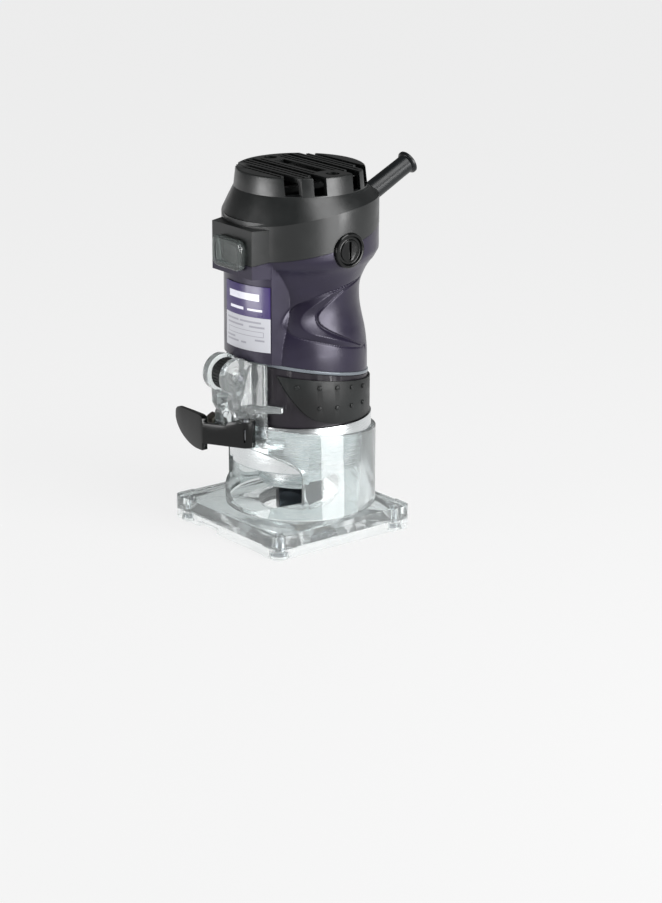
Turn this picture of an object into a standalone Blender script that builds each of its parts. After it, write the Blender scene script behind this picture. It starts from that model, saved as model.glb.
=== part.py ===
"""Trim router: a motor that slides in a clear base, with its clamp, depth roller, switch and spindle.

Sizes are in millimetres about the spindle's axis, with height measured from the underside of the foot.
The helpers turn them to metres. The operator's front is -Y and the cord leaves at +Y.
"""

import math

import bmesh
import bpy
from mathutils import Matrix, Vector

MM = 0.001
GAP = 0.3

# Frame: the spindle's axis stands a little in front of the middle of the whole tool.
AXIS_Y = -7.8

# Foot
FOOT_WIDTH = 91.0
FOOT_FRONT = -49.7
FOOT_BACK = 38.3
SOLE_TOP = 5.4
FOOT_TOP = 12.6
FOOT_HOLE = 22.0
BLOCK_X = 15.0
BLOCK_Y = 14.0
BLOCK_PROUD = 0.9
SOLE_SCREW_X = 38.0
SOLE_SCREW_FRONT = -42.5
SOLE_SCREW_BACK = 31.0

# Collar and clamp tower
COLLAR_OUT = 39.4
COLLAR_IN = 37.3
RIM_MIDDLE = 56.5
RIM_SLOPE = -0.115
TOWER_HALF = 16.2
TOWER_TOP = 94.3
CHIP_HALF = 31.7
SLIT_HALF = 4.2
ROLLER_Y = -46.0
ROLLER_Z = 88.0
ROLLER_R = 8.2
ROLLER_HALF = 4.5
LOBE_R = 9.8
LOBE_IN = 5.0
LOBE_OUT = 9.0
BOLT_Y = -44.0
BOLT_Z = 59.0
BOLT_R = 2.0

# Clamp lever
LEVER_X = 12.0
LEVER_LOW = 52.3
LEVER_HIGH = 63.0
HUB_HIGH = 65.5
HUB_R = 4.7
PIN_R = 1.5

# Motor casing
BRACKET_R = 36.9
BRACKET_LOW = 36.5
BRACKET_TOP = 61.2
NOSE_R = 22.2
NOSE_LOW = 24.0
SLEEVE_R = 35.0
SLEEVE_IN = 32.6
WALL = 2.3
SEAM_MIDDLE = 88.9
SEAM_SLOPE = -0.181
SPLIT_MIDDLE = 155.6
SPLIT_SLOPE = 0.2
PAD_R = 35.0
PAD_Y = -5.5
PAD_HALF = 20.5
BOX_FRONT = -43.5
BOX_HALF = 16.8
BOX_LOW = 140.0
BOX_HIGH = 165.0
SCREW_CIRCLE = 31.2
SCREW_TURNS = (65.0, 155.0, 245.0, 335.0)
BRUSH_Z = 153.6
BRUSH_Y = 0.0
CAP_R = 9.0

# Switch
SWITCH_Z = 151.5
ROCKER_Y = -38.9
ROCKER_REST = -6.0

# Cord guard
GUARD_Y = 33.0
GUARD_Z = 164.0
GUARD_RISE = 27.0
GUARD_LENGTH = 43.6

# Spindle
NUT_FLATS = 24.0
NUT_LOW = 6.0
NUT_HIGH = 20.4
BIT_BORE = 3.2

# Sides of the large round pieces
ROUND = 40

PARTS = "trim_router"
CUTTERS = "cutters"


# ---------------------------------------------------------------- scene and materials


def clear_scene():
    for obj in list(bpy.data.objects):
        bpy.data.objects.remove(obj, do_unlink=True)


def collection(name):
    group = bpy.data.collections.new(name)
    bpy.context.scene.collection.children.link(group)
    return group


def material(name, colour, roughness, metallic=0.0, transmission=0.0):
    made = bpy.data.materials.new(name)
    made.use_nodes = True
    shader = made.node_tree.nodes["Principled BSDF"]
    shader.inputs["Base Color"].default_value = (*colour, 1.0)
    shader.inputs["Roughness"].default_value = roughness
    shader.inputs["Metallic"].default_value = metallic
    shader.inputs["Transmission Weight"].default_value = transmission
    return made


def pivot(name, location, parent=None):
    """An empty that stands on a joint's axis, with its place in millimetres about the spindle."""
    empty = bpy.data.objects.new(name, None)
    bpy.data.collections[PARTS].objects.link(empty)
    empty.parent = parent
    empty.location = Vector(location) * MM
    return empty


def add_object(name, mesh):
    obj = bpy.data.objects.new(name, mesh)
    bpy.data.collections[PARTS].objects.link(obj)
    return obj


def finish(obj, parent, colour, location=(0, 0, 0)):
    """Puts a piece under its pivot, gives it its material and shades its round faces smooth."""
    obj.parent = parent
    obj.location = Vector(location) * MM
    obj.data.materials.clear()
    obj.data.materials.append(colour)
    obj.data.shade_smooth()
    obj.data.set_sharp_from_angle(angle=math.radians(35))
    return obj


# ---------------------------------------------------------------- shapes


def box(name, low, high, chamfer=0.0):
    low = Vector(low)
    high = Vector(high)
    shape = bmesh.new()
    bmesh.ops.create_cube(shape, size=MM)
    bmesh.ops.scale(shape, vec=high - low, verts=shape.verts)
    bmesh.ops.translate(shape, vec=(low + high) / 2 * MM, verts=shape.verts)
    mesh = bpy.data.meshes.new(name)
    shape.to_mesh(mesh)
    shape.free()
    obj = add_object(name, mesh)
    if chamfer:
        edge = obj.modifiers.new("edge", "BEVEL")
        edge.width = chamfer * MM
        edge.segments = 2
    return obj


def cylinder(name, radius, start, end, segments=24, phase=0.0):
    """A round bar from one point to another."""
    start = Vector(start)
    end = Vector(end)
    along = end - start
    shape = bmesh.new()
    bmesh.ops.create_cone(
        shape, cap_ends=True, segments=segments, radius1=radius * MM, radius2=radius * MM, depth=along.length * MM
    )
    turn = along.to_track_quat("Z", "Y").to_matrix().to_4x4() @ Matrix.Rotation(math.radians(phase), 4, "Z")
    bmesh.ops.transform(shape, matrix=Matrix.Translation((start + end) / 2 * MM) @ turn, verts=shape.verts)
    mesh = bpy.data.meshes.new(name)
    shape.to_mesh(mesh)
    shape.free()
    return add_object(name, mesh)


def turned(name, profile, segments=48, axis="Z"):
    """A turned piece. The profile is (radius, distance along the axis), down its outer side.

    A profile that starts and ends on the axis is left open there, and any other is closed to a ring.
    """
    shape = bmesh.new()
    if axis == "X":
        points = [shape.verts.new((z * MM, 0, r * MM)) for r, z in profile]
    else:
        points = [shape.verts.new((r * MM, 0, z * MM)) for r, z in profile]
    solid = profile[0][0] == 0 and profile[-1][0] == 0
    ends = points[1:] if solid else points[1:] + points[:1]
    for start, end in zip(points, ends):
        shape.edges.new((start, end))
    mesh = bpy.data.meshes.new(name)
    shape.to_mesh(mesh)
    shape.free()
    obj = add_object(name, mesh)
    spin = obj.modifiers.new("spin", "SCREW")
    spin.axis = axis
    spin.steps = segments
    spin.render_steps = segments
    spin.use_merge_vertices = True
    spin.merge_threshold = 0.00001
    return obj


def plate(name, outline, low, high, along="Z"):
    """A flat outline, filled and given thickness along an axis.

    The outline's points are (X, Y) for Z, (X, Z) for Y and (Y, Z) for X.
    """
    curve = bpy.data.curves.new(name, "CURVE")
    curve.dimensions = "2D"
    curve.fill_mode = "BOTH"
    curve.extrude = (high - low) / 2 * MM
    spline = curve.splines.new("POLY")
    spline.points.add(len(outline) - 1)
    for point, (u, v) in zip(spline.points, outline):
        point.co = (u * MM, v * MM, 0, 1)
    spline.use_cyclic_u = True
    flat = bpy.data.objects.new(name, curve)
    bpy.data.collections[PARTS].objects.link(flat)
    middle = (low + high) / 2 * MM
    if along == "Z":
        flat.matrix_world = Matrix.Translation((0, 0, middle))
    elif along == "Y":
        flat.matrix_world = Matrix.Translation((0, middle, 0)) @ Matrix.Rotation(math.pi / 2, 4, "X")
    else:
        turn = Matrix(((0, 0, 1, 0), (1, 0, 0, 0), (0, 1, 0, 0), (0, 0, 0, 1)))
        flat.matrix_world = Matrix.Translation((middle, 0, 0)) @ turn
    return curve_to_mesh(flat)


def tube(name, points, radius, cyclic=False, sides=2):
    """A round wire through the points."""
    curve = bpy.data.curves.new(name, "CURVE")
    curve.dimensions = "3D"
    curve.bevel_depth = radius * MM
    curve.bevel_resolution = sides
    curve.use_fill_caps = not cyclic
    spline = curve.splines.new("POLY")
    spline.points.add(len(points) - 1)
    for point, place in zip(spline.points, points):
        point.co = (*(Vector(place) * MM), 1)
    spline.use_cyclic_u = cyclic
    wire = bpy.data.objects.new(name, curve)
    bpy.data.collections[PARTS].objects.link(wire)
    return curve_to_mesh(wire)


def curve_to_mesh(curve_object):
    """Replaces a curve object with a closed mesh in the same place."""
    name = curve_object.name
    bpy.context.view_layer.update()
    seen = curve_object.evaluated_get(bpy.context.evaluated_depsgraph_get())
    mesh = bpy.data.meshes.new_from_object(seen)
    mesh.transform(curve_object.matrix_world)
    bpy.data.objects.remove(curve_object, do_unlink=True)
    shape = bmesh.new()
    shape.from_mesh(mesh)
    bmesh.ops.remove_doubles(shape, verts=shape.verts, dist=0.000002)
    bmesh.ops.recalc_face_normals(shape, faces=shape.faces)
    bmesh.ops.dissolve_limit(shape, angle_limit=0.001, verts=[], edges=shape.edges)
    shape.to_mesh(mesh)
    shape.free()
    mesh.name = name
    return add_object(name, mesh)


def boolean(obj, other, operation, solver="EXACT"):
    """Adds a Boolean. Its other shape goes among the cutters and moves with the piece."""
    bpy.data.collections[PARTS].objects.unlink(other)
    bpy.data.collections[CUTTERS].objects.link(other)
    other.parent = obj
    other.hide_render = True
    other.display_type = "WIRE"
    step = obj.modifiers.new(operation.lower(), "BOOLEAN")
    step.operation = operation
    step.solver = solver
    step.object = other
    return obj


def join(obj, *others):
    for other in others:
        boolean(obj, other, "UNION")
    return obj


def cut(obj, *others):
    for other in others:
        boolean(obj, other, "DIFFERENCE")
    return obj


def keep(obj, other):
    return boolean(obj, other, "INTERSECT")


def settle(obj):
    """Applies the modifiers, so that the shape can be moved under a pivot."""
    bpy.context.view_layer.update()
    seen = obj.evaluated_get(bpy.context.evaluated_depsgraph_get())
    mesh = bpy.data.meshes.new_from_object(seen)
    obj.modifiers.clear()
    obj.data = mesh
    return obj


def on_circle(radius, degrees, centre=(0.0, 0.0)):
    """A point at an angle measured from the front, -Y, towards +X."""
    angle = math.radians(degrees)
    return centre[0] + radius * math.sin(angle), centre[1] - radius * math.cos(angle)


def arc(radius, first, last, steps, centre=(0.0, 0.0)):
    return [on_circle(radius, first + (last - first) * i / steps, centre) for i in range(steps + 1)]


def slope_box(name, middle, slope, above):
    """A large block whose lower or upper face is the plane z = middle + slope * y."""
    low, high = (0, 150) if above else (-150, 0)
    block = box(name, (-80, -110, low), (80, 110, high))
    turn = Matrix.Translation((0, 0, middle * MM)) @ Matrix.Rotation(math.atan(slope), 4, "X")
    block.data.transform(turn)
    return block


# ---------------------------------------------------------------- base


def foot_outline():
    """The square foot from above: each corner is a proud block with a chamfer."""
    corner = 3.5
    half = FOOT_WIDTH / 2
    right = []
    for end, depth in ((FOOT_FRONT, 1), (FOOT_BACK, -1)):
        points = [
            (half - BLOCK_X, end + depth * BLOCK_PROUD),
            (half - BLOCK_X, end),
            (half - corner, end),
            (half, end + depth * corner),
            (half, end + depth * BLOCK_Y),
            (half - BLOCK_PROUD, end + depth * BLOCK_Y),
        ]
        right += points[::depth]
    return [*right, *((-x, y) for x, y in reversed(right))]


def chip_outline():
    """The chip opening seen from the front: an arch over a low slanted lip."""
    arch = []
    steps = 12
    for i in range(steps + 1):
        angle = math.pi * i / steps
        arch.append((CHIP_HALF * math.cos(angle), 36.0 + 13.0 * math.sin(angle)))
    return [(-CHIP_HALF, 22.5), (-10.0, 15.0), (10.0, 15.0), (CHIP_HALF, 22.5), *arch]


def lobe_outline():
    """The side of a roller lobe, (Y, Z): round about the axle, running back into the tower."""
    front = []
    for degrees in range(75, 246, 15):
        angle = math.radians(degrees)
        front.append((ROLLER_Y + LOBE_R * math.cos(angle), ROLLER_Z + LOBE_R * math.sin(angle)))
    return [(-38.2, TOWER_TOP - 0.2), *front, (-50.0, 72.0), (-46.8, 66.0), (-38.2, 66.0)]


def collar_and_tower():
    body = cylinder("clear_base", COLLAR_OUT, (0, 0, 8.0), (0, 0, TOWER_TOP), segments=ROUND)
    rim = slope_box("rim_cut", RIM_MIDDLE, RIM_SLOPE, True)
    cut(rim, box("tower_kept", (-TOWER_HALF, -60, 30), (TOWER_HALF, -20, 130)))
    return cut(body, settle(rim))


def build_base_moulding(parent, colour):
    body = collar_and_tower()
    boolean(body, plate("foot", foot_outline(), SOLE_TOP + GAP, FOOT_TOP), "UNION", "MANIFOLD")
    for side in (-1, 1):
        inner, outer = sorted((side * (LOBE_IN - 0.4), side * LOBE_OUT))
        join(body, plate("lobe", lobe_outline(), inner, outer, "X"))
        near, far = sorted((side * (SLIT_HALF - 0.4), side * (7.0 if side > 0 else 12.0)))
        join(body, box("ear", (near, -46.8, 52.5), (far, -38.0, 67.0)))
        rib = [(8.0, -45.0), (8.0, -38.0), (24.0, -29.5), (25.5, -31.5), (14.0, -45.0)]
        join(body, plate("rib", [(side * x, y) for x, y in rib], 70.2, 72.8))
        join(body, cylinder("boss", 3.4, (side * 8.0, ROLLER_Y, ROLLER_Z), (side * 10.6, ROLLER_Y, ROLLER_Z)))
    cut(
        body,
        cylinder("bore", COLLAR_IN, (0, 0, FOOT_TOP - 0.3), (0, 0, 120), segments=ROUND),
        cylinder("foot_hole", FOOT_HOLE, (0, 0, -5), (0, 0, 20), segments=40),
        plate("chip_cut", chip_outline(), -60, -12, "Y"),
        box("slit", (-SLIT_HALF, -60, 40), (SLIT_HALF, -30, 120)),
        box("roller_room", (-LOBE_IN, -60, 77.5), (LOBE_IN, -30, 120)),
        cylinder("axle_hole", 1.9, (-20, ROLLER_Y, ROLLER_Z), (20, ROLLER_Y, ROLLER_Z)),
        cylinder("bolt_hole", BOLT_R + GAP, (-20, BOLT_Y, BOLT_Z), (20, BOLT_Y, BOLT_Z)),
    )
    for x, y in sole_screw_places():
        cut(body, cylinder("thread", 1.9, (x, y, 0), (x, y, 10.5), segments=10))
    return finish(body, parent, colour)


def sole_screw_places():
    return [(x, y) for x in (-SOLE_SCREW_X, SOLE_SCREW_X) for y in (SOLE_SCREW_FRONT, SOLE_SCREW_BACK)]


def build_sole(parent, colour):
    sole = plate("sole_plate", foot_outline(), 0, SOLE_TOP)
    hole = cylinder("sole_hole", FOOT_HOLE - 3.0, (0, 0, -5), (0, 0, 20), segments=40)
    boolean(sole, hole, "DIFFERENCE", "MANIFOLD")
    cut(sole, box("notch", (-24, FOOT_FRONT - 5, -5), (-8, FOOT_FRONT + 4, 3.0)))
    for x, y in sole_screw_places():
        cut(sole, cylinder("shank_hole", 2.1, (x, y, -5), (x, y, 20), segments=10))
        cut(sole, cylinder("head_hole", 4.0, (x, y, -5), (x, y, 3.1), segments=10))
    return finish(sole, parent, colour)


def build_sole_screws(parent, colour):
    profile = [(0, 10.0), (1.6, 9.6), (1.6, 3.4), (1.6, 2.8), (3.7, 2.8), (3.7, 0.8), (0, 0.8)]
    for number, place in enumerate(sole_screw_places(), 1):
        screw = turned(f"sole_screw_{number}", profile, 12)
        finish(screw, parent, colour, (*place, 0))


def build_clamp_bolt(parent, colour):
    """The eye bolt that draws the ears together: its eye turns on the lever's pin."""
    bolt = cylinder("clamp_bolt", BOLT_R, (-21.5, BOLT_Y, BOLT_Z), (LEVER_X - 1.0, BOLT_Y, BOLT_Z), segments=16)
    join(bolt, cylinder("eye", 3.3, (LEVER_X, BOLT_Y, BOLT_Z - 3), (LEVER_X, BOLT_Y, BOLT_Z + 3)))
    cut(bolt, cylinder("eye_hole", PIN_R + GAP, (LEVER_X, BOLT_Y, 40), (LEVER_X, BOLT_Y, 80)))
    return finish(bolt, parent, colour)


def build_clamp_nut(parent, colour):
    nut = cylinder("clamp_nut", 4.6, (-18.0, BOLT_Y, BOLT_Z), (-12.4, BOLT_Y, BOLT_Z), segments=6)
    cut(nut, cylinder("nut_hole", BOLT_R + GAP, (-25, BOLT_Y, BOLT_Z), (0, BOLT_Y, BOLT_Z), segments=16))
    return finish(nut, parent, colour)


def build_lever_pin(parent, colour):
    pin = cylinder("lever_pin", PIN_R, (LEVER_X, BOLT_Y, 51.6), (LEVER_X, BOLT_Y, 66.2), segments=16)
    return finish(pin, parent, colour)


def build_roller_axle(parent, colour):
    axle = cylinder("roller_axle", 1.6, (-10.8, ROLLER_Y, ROLLER_Z), (10.8, ROLLER_Y, ROLLER_Z), segments=16)
    return finish(axle, parent, colour)


# ---------------------------------------------------------------- clamp lever and depth roller


def lever_plan():
    """The lever from above, about its pin: a round hub, a straight arm and a thumb tab along -X."""
    hub = arc(HUB_R, 30, 230, 14)
    back = [(-5.0, -4.4), (-15.4, -10.6), (-19.0, -11.8), (-44.0, -11.0)]
    front = [(-44.3, -12.8), (-20.6, -14.9), (-17.0, -15.1)]
    return [*hub, *back, *front]


def lever_side():
    """The lever from the front, about its pin's foot: a narrow arm and a tall rounded tab."""
    tab_low = [(-17.6, 48.4), (-25.0, 48.2), (-32.0, 49.6), (-38.5, 52.6), (-42.8, 56.6), (-44.6, 60.6)]
    tab_high = [(-44.0, 64.0), (-41.6, 65.9), (-36.0, 66.3), (-26.0, 66.6), (-18.6, 66.3), (-17.2, LEVER_HIGH)]
    hub = [(-6.0, LEVER_HIGH), (-4.0, HUB_HIGH), (8.0, HUB_HIGH), (8.0, LEVER_LOW), (-17.6, LEVER_LOW)]
    return [*tab_low, *tab_high, *hub]


def build_lever(parent, colour):
    lever = plate("clamp_lever", lever_plan(), 40, 75)
    keep(lever, plate("lever_side", lever_side(), -40, 40, "Y"))
    cut(
        lever,
        box("eye_room", (-12, -3.7, BOLT_Z - 3.5), (8, 8, BOLT_Z + 3.5)),
        cylinder("pin_room", PIN_R + GAP, (0, 0, 30), (0, 0, 90)),
    )
    return finish(lever, parent, colour)


def build_roller(parent, rubber, plastic):
    half = ROLLER_HALF
    tyre = [(ROLLER_R - 0.5, half), (ROLLER_R, half - 0.8), (ROLLER_R, 0.8 - half), (ROLLER_R - 0.5, -half)]
    tyre += [(5.0, -half), (5.0, half)]
    finish(turned("roller_tyre", tyre, 28, "X"), parent, rubber)
    hub = [(4.7, half), (4.7, -half), (1.9, -half), (1.9, half)]
    finish(turned("roller_hub", hub, 16, "X"), parent, plastic)


# ---------------------------------------------------------------- motor casing


def build_bracket(parent, colour):
    """The aluminium end bracket: a ring that the base grips, and the nose that holds the lower bearing."""
    profile = [
        (BRACKET_R, BRACKET_TOP),
        (BRACKET_R, BRACKET_LOW),
        (NOSE_R, BRACKET_LOW),
        (NOSE_R, NOSE_LOW + 1.0),
        (NOSE_R - 1.0, NOSE_LOW),
        (9.5, NOSE_LOW),
        (9.5, 26.5),
        (14.3, 26.5),
        (14.3, 40.0),
        (33.6, 40.0),
        (33.6, BRACKET_TOP),
    ]
    bracket = turned("end_bracket", profile, ROUND)
    for turn in SCREW_TURNS:
        x, y = on_circle(SCREW_CIRCLE, turn)
        join(bracket, cylinder("boss", 3.4, (x, y, 39), (x, y, BRACKET_TOP), segments=10))
    for turn in SCREW_TURNS:
        x, y = on_circle(SCREW_CIRCLE, turn)
        cut(bracket, cylinder("screw_hole", 2.0, (x, y, 30), (x, y, 70), segments=10))
        cut(bracket, plate("screw_seat", seat_outline(turn), 30, 39.4))
    for step in range(8):
        x, y = on_circle(26.5, step * 45 + 42)
        cut(bracket, cylinder("air_hole", 2.0, (x, y, 30), (x, y, 45), segments=8))
    return finish(bracket, parent, colour)


def seat_outline(turn):
    """A screw's seat, open through the ring's outer wall."""
    inner = [on_circle(3.5, turn + 90 + 180 * i / 6, on_circle(SCREW_CIRCLE, turn)) for i in range(7)]
    outer = [on_circle(3.5, turn + 270, on_circle(40.0, turn)), on_circle(3.5, turn + 90, on_circle(40.0, turn))]
    return [*inner, *outer]


def build_bracket_screws(parent, colour):
    profile = [(0, 97.0), (1.6, 96.6), (1.6, 39.1), (3.1, 39.1), (3.1, 37.2), (0, 37.2)]
    for number, turn in enumerate(SCREW_TURNS, 1):
        screw = turned(f"bracket_screw_{number}", profile, 12)
        finish(screw, parent, colour, (*on_circle(SCREW_CIRCLE, turn), 0))


def build_lower_sleeve(parent, colour):
    """The fan casing between the bracket and the housing, with the rib that the depth roller drives."""
    low = BRACKET_TOP + GAP
    sleeve = turned("lower_sleeve", [(SLEEVE_R, 110), (SLEEVE_R, low), (SLEEVE_IN, low), (SLEEVE_IN, 110)], ROUND)
    join(sleeve, box("rib", (-3.4, -37.5, low), (3.4, -33.5, 110)))
    for turn in SCREW_TURNS:
        x, y = on_circle(SCREW_CIRCLE, turn)
        join(sleeve, cylinder("boss", 3.0, (x, y, low), (x, y, 110), segments=10))
        cut(sleeve, cylinder("screw_hole", 2.0, (x, y, 50), (x, y, 120), segments=10))
    cut(sleeve, slope_box("sleeve_top", SEAM_MIDDLE - 2.1, SEAM_SLOPE, True))
    return finish(sleeve, parent, colour)


def build_rim_strip(parent, colour):
    """The pale seal in the tilted seam between the sleeve and the housing."""
    strip = turned("rim_strip", [(35.2, 110), (35.2, 60), (34.0, 60), (34.0, 110)], ROUND)
    cut(
        strip,
        slope_box("strip_top", SEAM_MIDDLE - GAP, SEAM_SLOPE, True),
        slope_box("strip_low", SEAM_MIDDLE - 1.8, SEAM_SLOPE, False),
    )
    return finish(strip, parent, colour)


def grip_outline():
    """A rubber grip from the side, (Y, Z): a straight top and a lower edge that sweeps up to the front."""
    return [
        (-30.0, 88.6),
        (-27.0, 80.0),
        (-23.0, 73.0),
        (-18.5, 67.6),
        (-12.0, 64.2),
        (-3.0, 62.3),
        (12.0, 61.8),
        (45.0, 61.8),
        (45.0, 77.8),
    ]


def build_grips(parent, colour):
    for name, side in (("grip_right", 1), ("grip_left", -1)):
        grip = turned(name, [(36.2, 110), (36.2, 55), (35.3, 55), (35.3, 110)], ROUND)
        low, high = sorted((side * 8, side * 50))
        keep(grip, plate(name + "_outline", grip_outline(), low, high, "X"))
        finish(grip, parent, colour)


HOUSING_PROFILE = [
    (40.3, 185.0),
    (40.3, 150.0),
    (39.6, 147.5),
    (38.0, 144.6),
    (36.0, 142.2),
    (34.0, 139.0),
    (32.3, 135.4),
    (31.1, 132.2),
    (30.4, 128.0),
    (30.4, 122.0),
    (31.0, 117.0),
    (32.2, 111.0),
    (33.3, 106.0),
    (34.1, 100.0),
    (34.6, 92.0),
    (34.6, 70.0),
]


def pad_outline(half, shrink):
    front = [(x, y) for x, y in arc(PAD_R - shrink, -36, 36, 10, (0, PAD_Y)) if abs(x) < half]
    edge = PAD_Y - math.sqrt((PAD_R - shrink) ** 2 - half**2)
    return [(half, -12), (half, edge), *reversed(front), (-half, edge), (-half, -12)]


def box_outline():
    flank = PAD_HALF - 0.1
    half = [(BOX_HALF, BOX_FRONT), (flank, -34.0), (flank - 2, -25.0)]
    return [*half, *((-x, y) for x, y in reversed(half))]


def guard_direction():
    rise = math.radians(GUARD_RISE)
    return Vector((0, math.cos(rise), math.sin(rise)))


def fittings_cuts(obj):
    """The openings that the housing and the cover share: brush caps, cord guard, switch and its window."""
    start = Vector((0, GUARD_Y, GUARD_Z))
    cut(obj, cylinder("guard_hole", 5.7, start - guard_direction() * 3, start + guard_direction() * 20))
    for side in (-1, 1):
        cut(obj, cylinder("cap_hole", CAP_R + GAP, (side * 34, BRUSH_Y, BRUSH_Z), (side * 50, BRUSH_Y, BRUSH_Z), 32))
    cut(
        obj,
        box("switch_room", (-12.5, -41.4, 143.0), (12.5, -18, 160.5)),
        box("switch_window", (-8.6, -50, SWITCH_Z - 7.4), (8.6, -30, SWITCH_Z + 7.4)),
    )
    return obj


def build_housing(parent, colour):
    """The waisted motor housing with its curved front pad and the lower half of the switch box."""
    floor = HOUSING_PROFILE[-1][1]
    housing = turned("motor_housing", [(0, 185), *HOUSING_PROFILE, (0, floor)], ROUND)
    join(
        housing,
        plate("pad", pad_outline(PAD_HALF, 0), 75, 175),
        plate("switch_box", box_outline(), BOX_LOW, 176),
    )
    hollow = [(radius - WALL, height) for radius, height in HOUSING_PROFILE[1::2]]
    cut(housing, turned("hollow", [(0, 190), (38.0, 190), *hollow, (32.3, 60), (0, 60)], ROUND))
    for turn in SCREW_TURNS:
        x, y = on_circle(SCREW_CIRCLE, turn)
        join(housing, cylinder("boss", 2.8, (x, y, 80), (x, y, 99), segments=10))
        cut(housing, cylinder("pilot", 2.0, (x, y, 70), (x, y, 97.6), segments=10))
    cut(
        housing,
        slope_box("seam", SEAM_MIDDLE, SEAM_SLOPE, False),
        slope_box("split", SPLIT_MIDDLE - GAP / 2, SPLIT_SLOPE, True),
    )
    fittings_cuts(housing)
    return finish(housing, parent, colour)


COVER_PROFILE = [
    (0, 190.6),
    (32.4, 190.6),
    (33.2, 189.8),
    (34.3, 180.4),
    (36.8, 177.6),
    (40.0, 171.5),
    (40.4, 170.4),
    (40.4, 130.0),
    (0, 130.0),
]


def build_cover(parent, colour):
    """The black end cover: a shoulder, a drum with slots through its rim, and the top of the switch box."""
    cover = turned("top_cover", COVER_PROFILE, ROUND)
    join(
        cover,
        plate("cover_pad", pad_outline(PAD_HALF, 0), 127, 168),
        plate("cover_box", box_outline(), 124, BOX_HIGH),
    )
    cut(cover, slope_box("cover_split", SPLIT_MIDDLE + GAP / 2, SPLIT_SLOPE, False))
    inner = [(31.0, 187.6), (32.0, 180), (37.4, 170.5), (37.9, 120)]
    hollow = turned("cover_hollow", [(0, 187.6), *inner, (0, 120)], ROUND)
    for side in (-1, 1):
        cut(hollow, cylinder("post", 4.6, (side * 26.0, 0.5, 172), (side * 26.0, 0.5, 195)))
    cut(hollow, box("cross_rib", (-1.5, -45, 177.6), (1.5, 45, 180.6)))
    cut(cover, hollow)
    for y in (-23, -11.5, 11.5, 22.5):
        cut(cover, box("slot", (-50, y - 3.2, 181.4), (50, y + 3.2, 200)))
    cut(cover, box("short_slot", (-18, -3.2, 185.0), (18, 3.2, 200)))
    for side in (-1, 1):
        x = side * 26.0
        cut(cover, cylinder("screw_hole", 1.8, (x, 0.5, 160), (x, 0.5, 200), segments=10))
        cut(cover, cylinder("screw_well", 3.5, (x, 0.5, 182), (x, 0.5, 200), segments=20))
    fittings_cuts(cover)
    return finish(cover, parent, colour)


def build_cover_screws(parent, colour):
    profile = [(0, 184.8), (2.4, 184.6), (3.1, 183.8), (3.1, 182.3), (1.5, 182.3), (1.5, 166.0), (0, 165.6)]
    for name, side in (("cover_screw_right", 1), ("cover_screw_left", -1)):
        finish(turned(name, profile, 12), parent, colour, (side * 26.0, 0.5, 0))


def build_label(parent, colour):
    """The rating label: a thin sheet bent round the front pad, set towards the right."""
    back, front = (arc(PAD_R + out, -16.5, 35.0, 12, (0, PAD_Y)) for out in (0.3, 0.65))
    return finish(plate("label", [*back, *reversed(front)], 101.5, 135.5), parent, colour)


def build_cord_guard(parent, colour):
    """The rubber sleeve that the supply cord leaves through, with a collar at its free end."""
    end = GUARD_LENGTH
    profile = [
        (6.3, end),
        (6.3, end - 1.6),
        (5.0, end - 2.2),
        (5.3, 6.0),
        (5.3, 0.0),
        (3.9, 0.0),
        (3.9, end),
    ]
    guard = turned("cord_guard", profile, 20)
    settle(guard)
    guard.data.transform(Matrix.Rotation(math.radians(GUARD_RISE - 90), 4, "X"))
    return finish(guard, parent, colour, (0, GUARD_Y, GUARD_Z))


# ---------------------------------------------------------------- switch


def build_switch_body(parent, colour):
    body = box("switch_body", (-8.3, -37.4, SWITCH_Z - 7.2), (8.3, -24.0, SWITCH_Z + 7.2), 0.6)
    return finish(body, parent, colour)


def build_boot(parent, colour):
    """The clear cap that keeps dust out of the switch. It is open behind, over the rocker."""
    boot = box("switch_boot", (-12.2, -47.4, SWITCH_Z - 7.9), (12.2, BOX_FRONT - GAP, SWITCH_Z + 7.9), 1.6)
    cut(boot, box("boot_room", (-9.6, -46.4, SWITCH_Z - 6.8), (9.6, -40, SWITCH_Z + 6.8)))
    return finish(boot, parent, colour)


def build_rocker(parent, colour):
    outline = [(0.4, -4.2), (-4.8, -5.9), (-4.2, 0), (-4.8, 5.9), (0.4, 4.2)]
    rocker = plate("switch_rocker", outline, -7.5, 7.5, "X")
    rocker.data.transform(Matrix.Rotation(math.radians(ROCKER_REST), 4, "X"))
    return finish(rocker, parent, colour)


# ---------------------------------------------------------------- brushes


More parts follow.
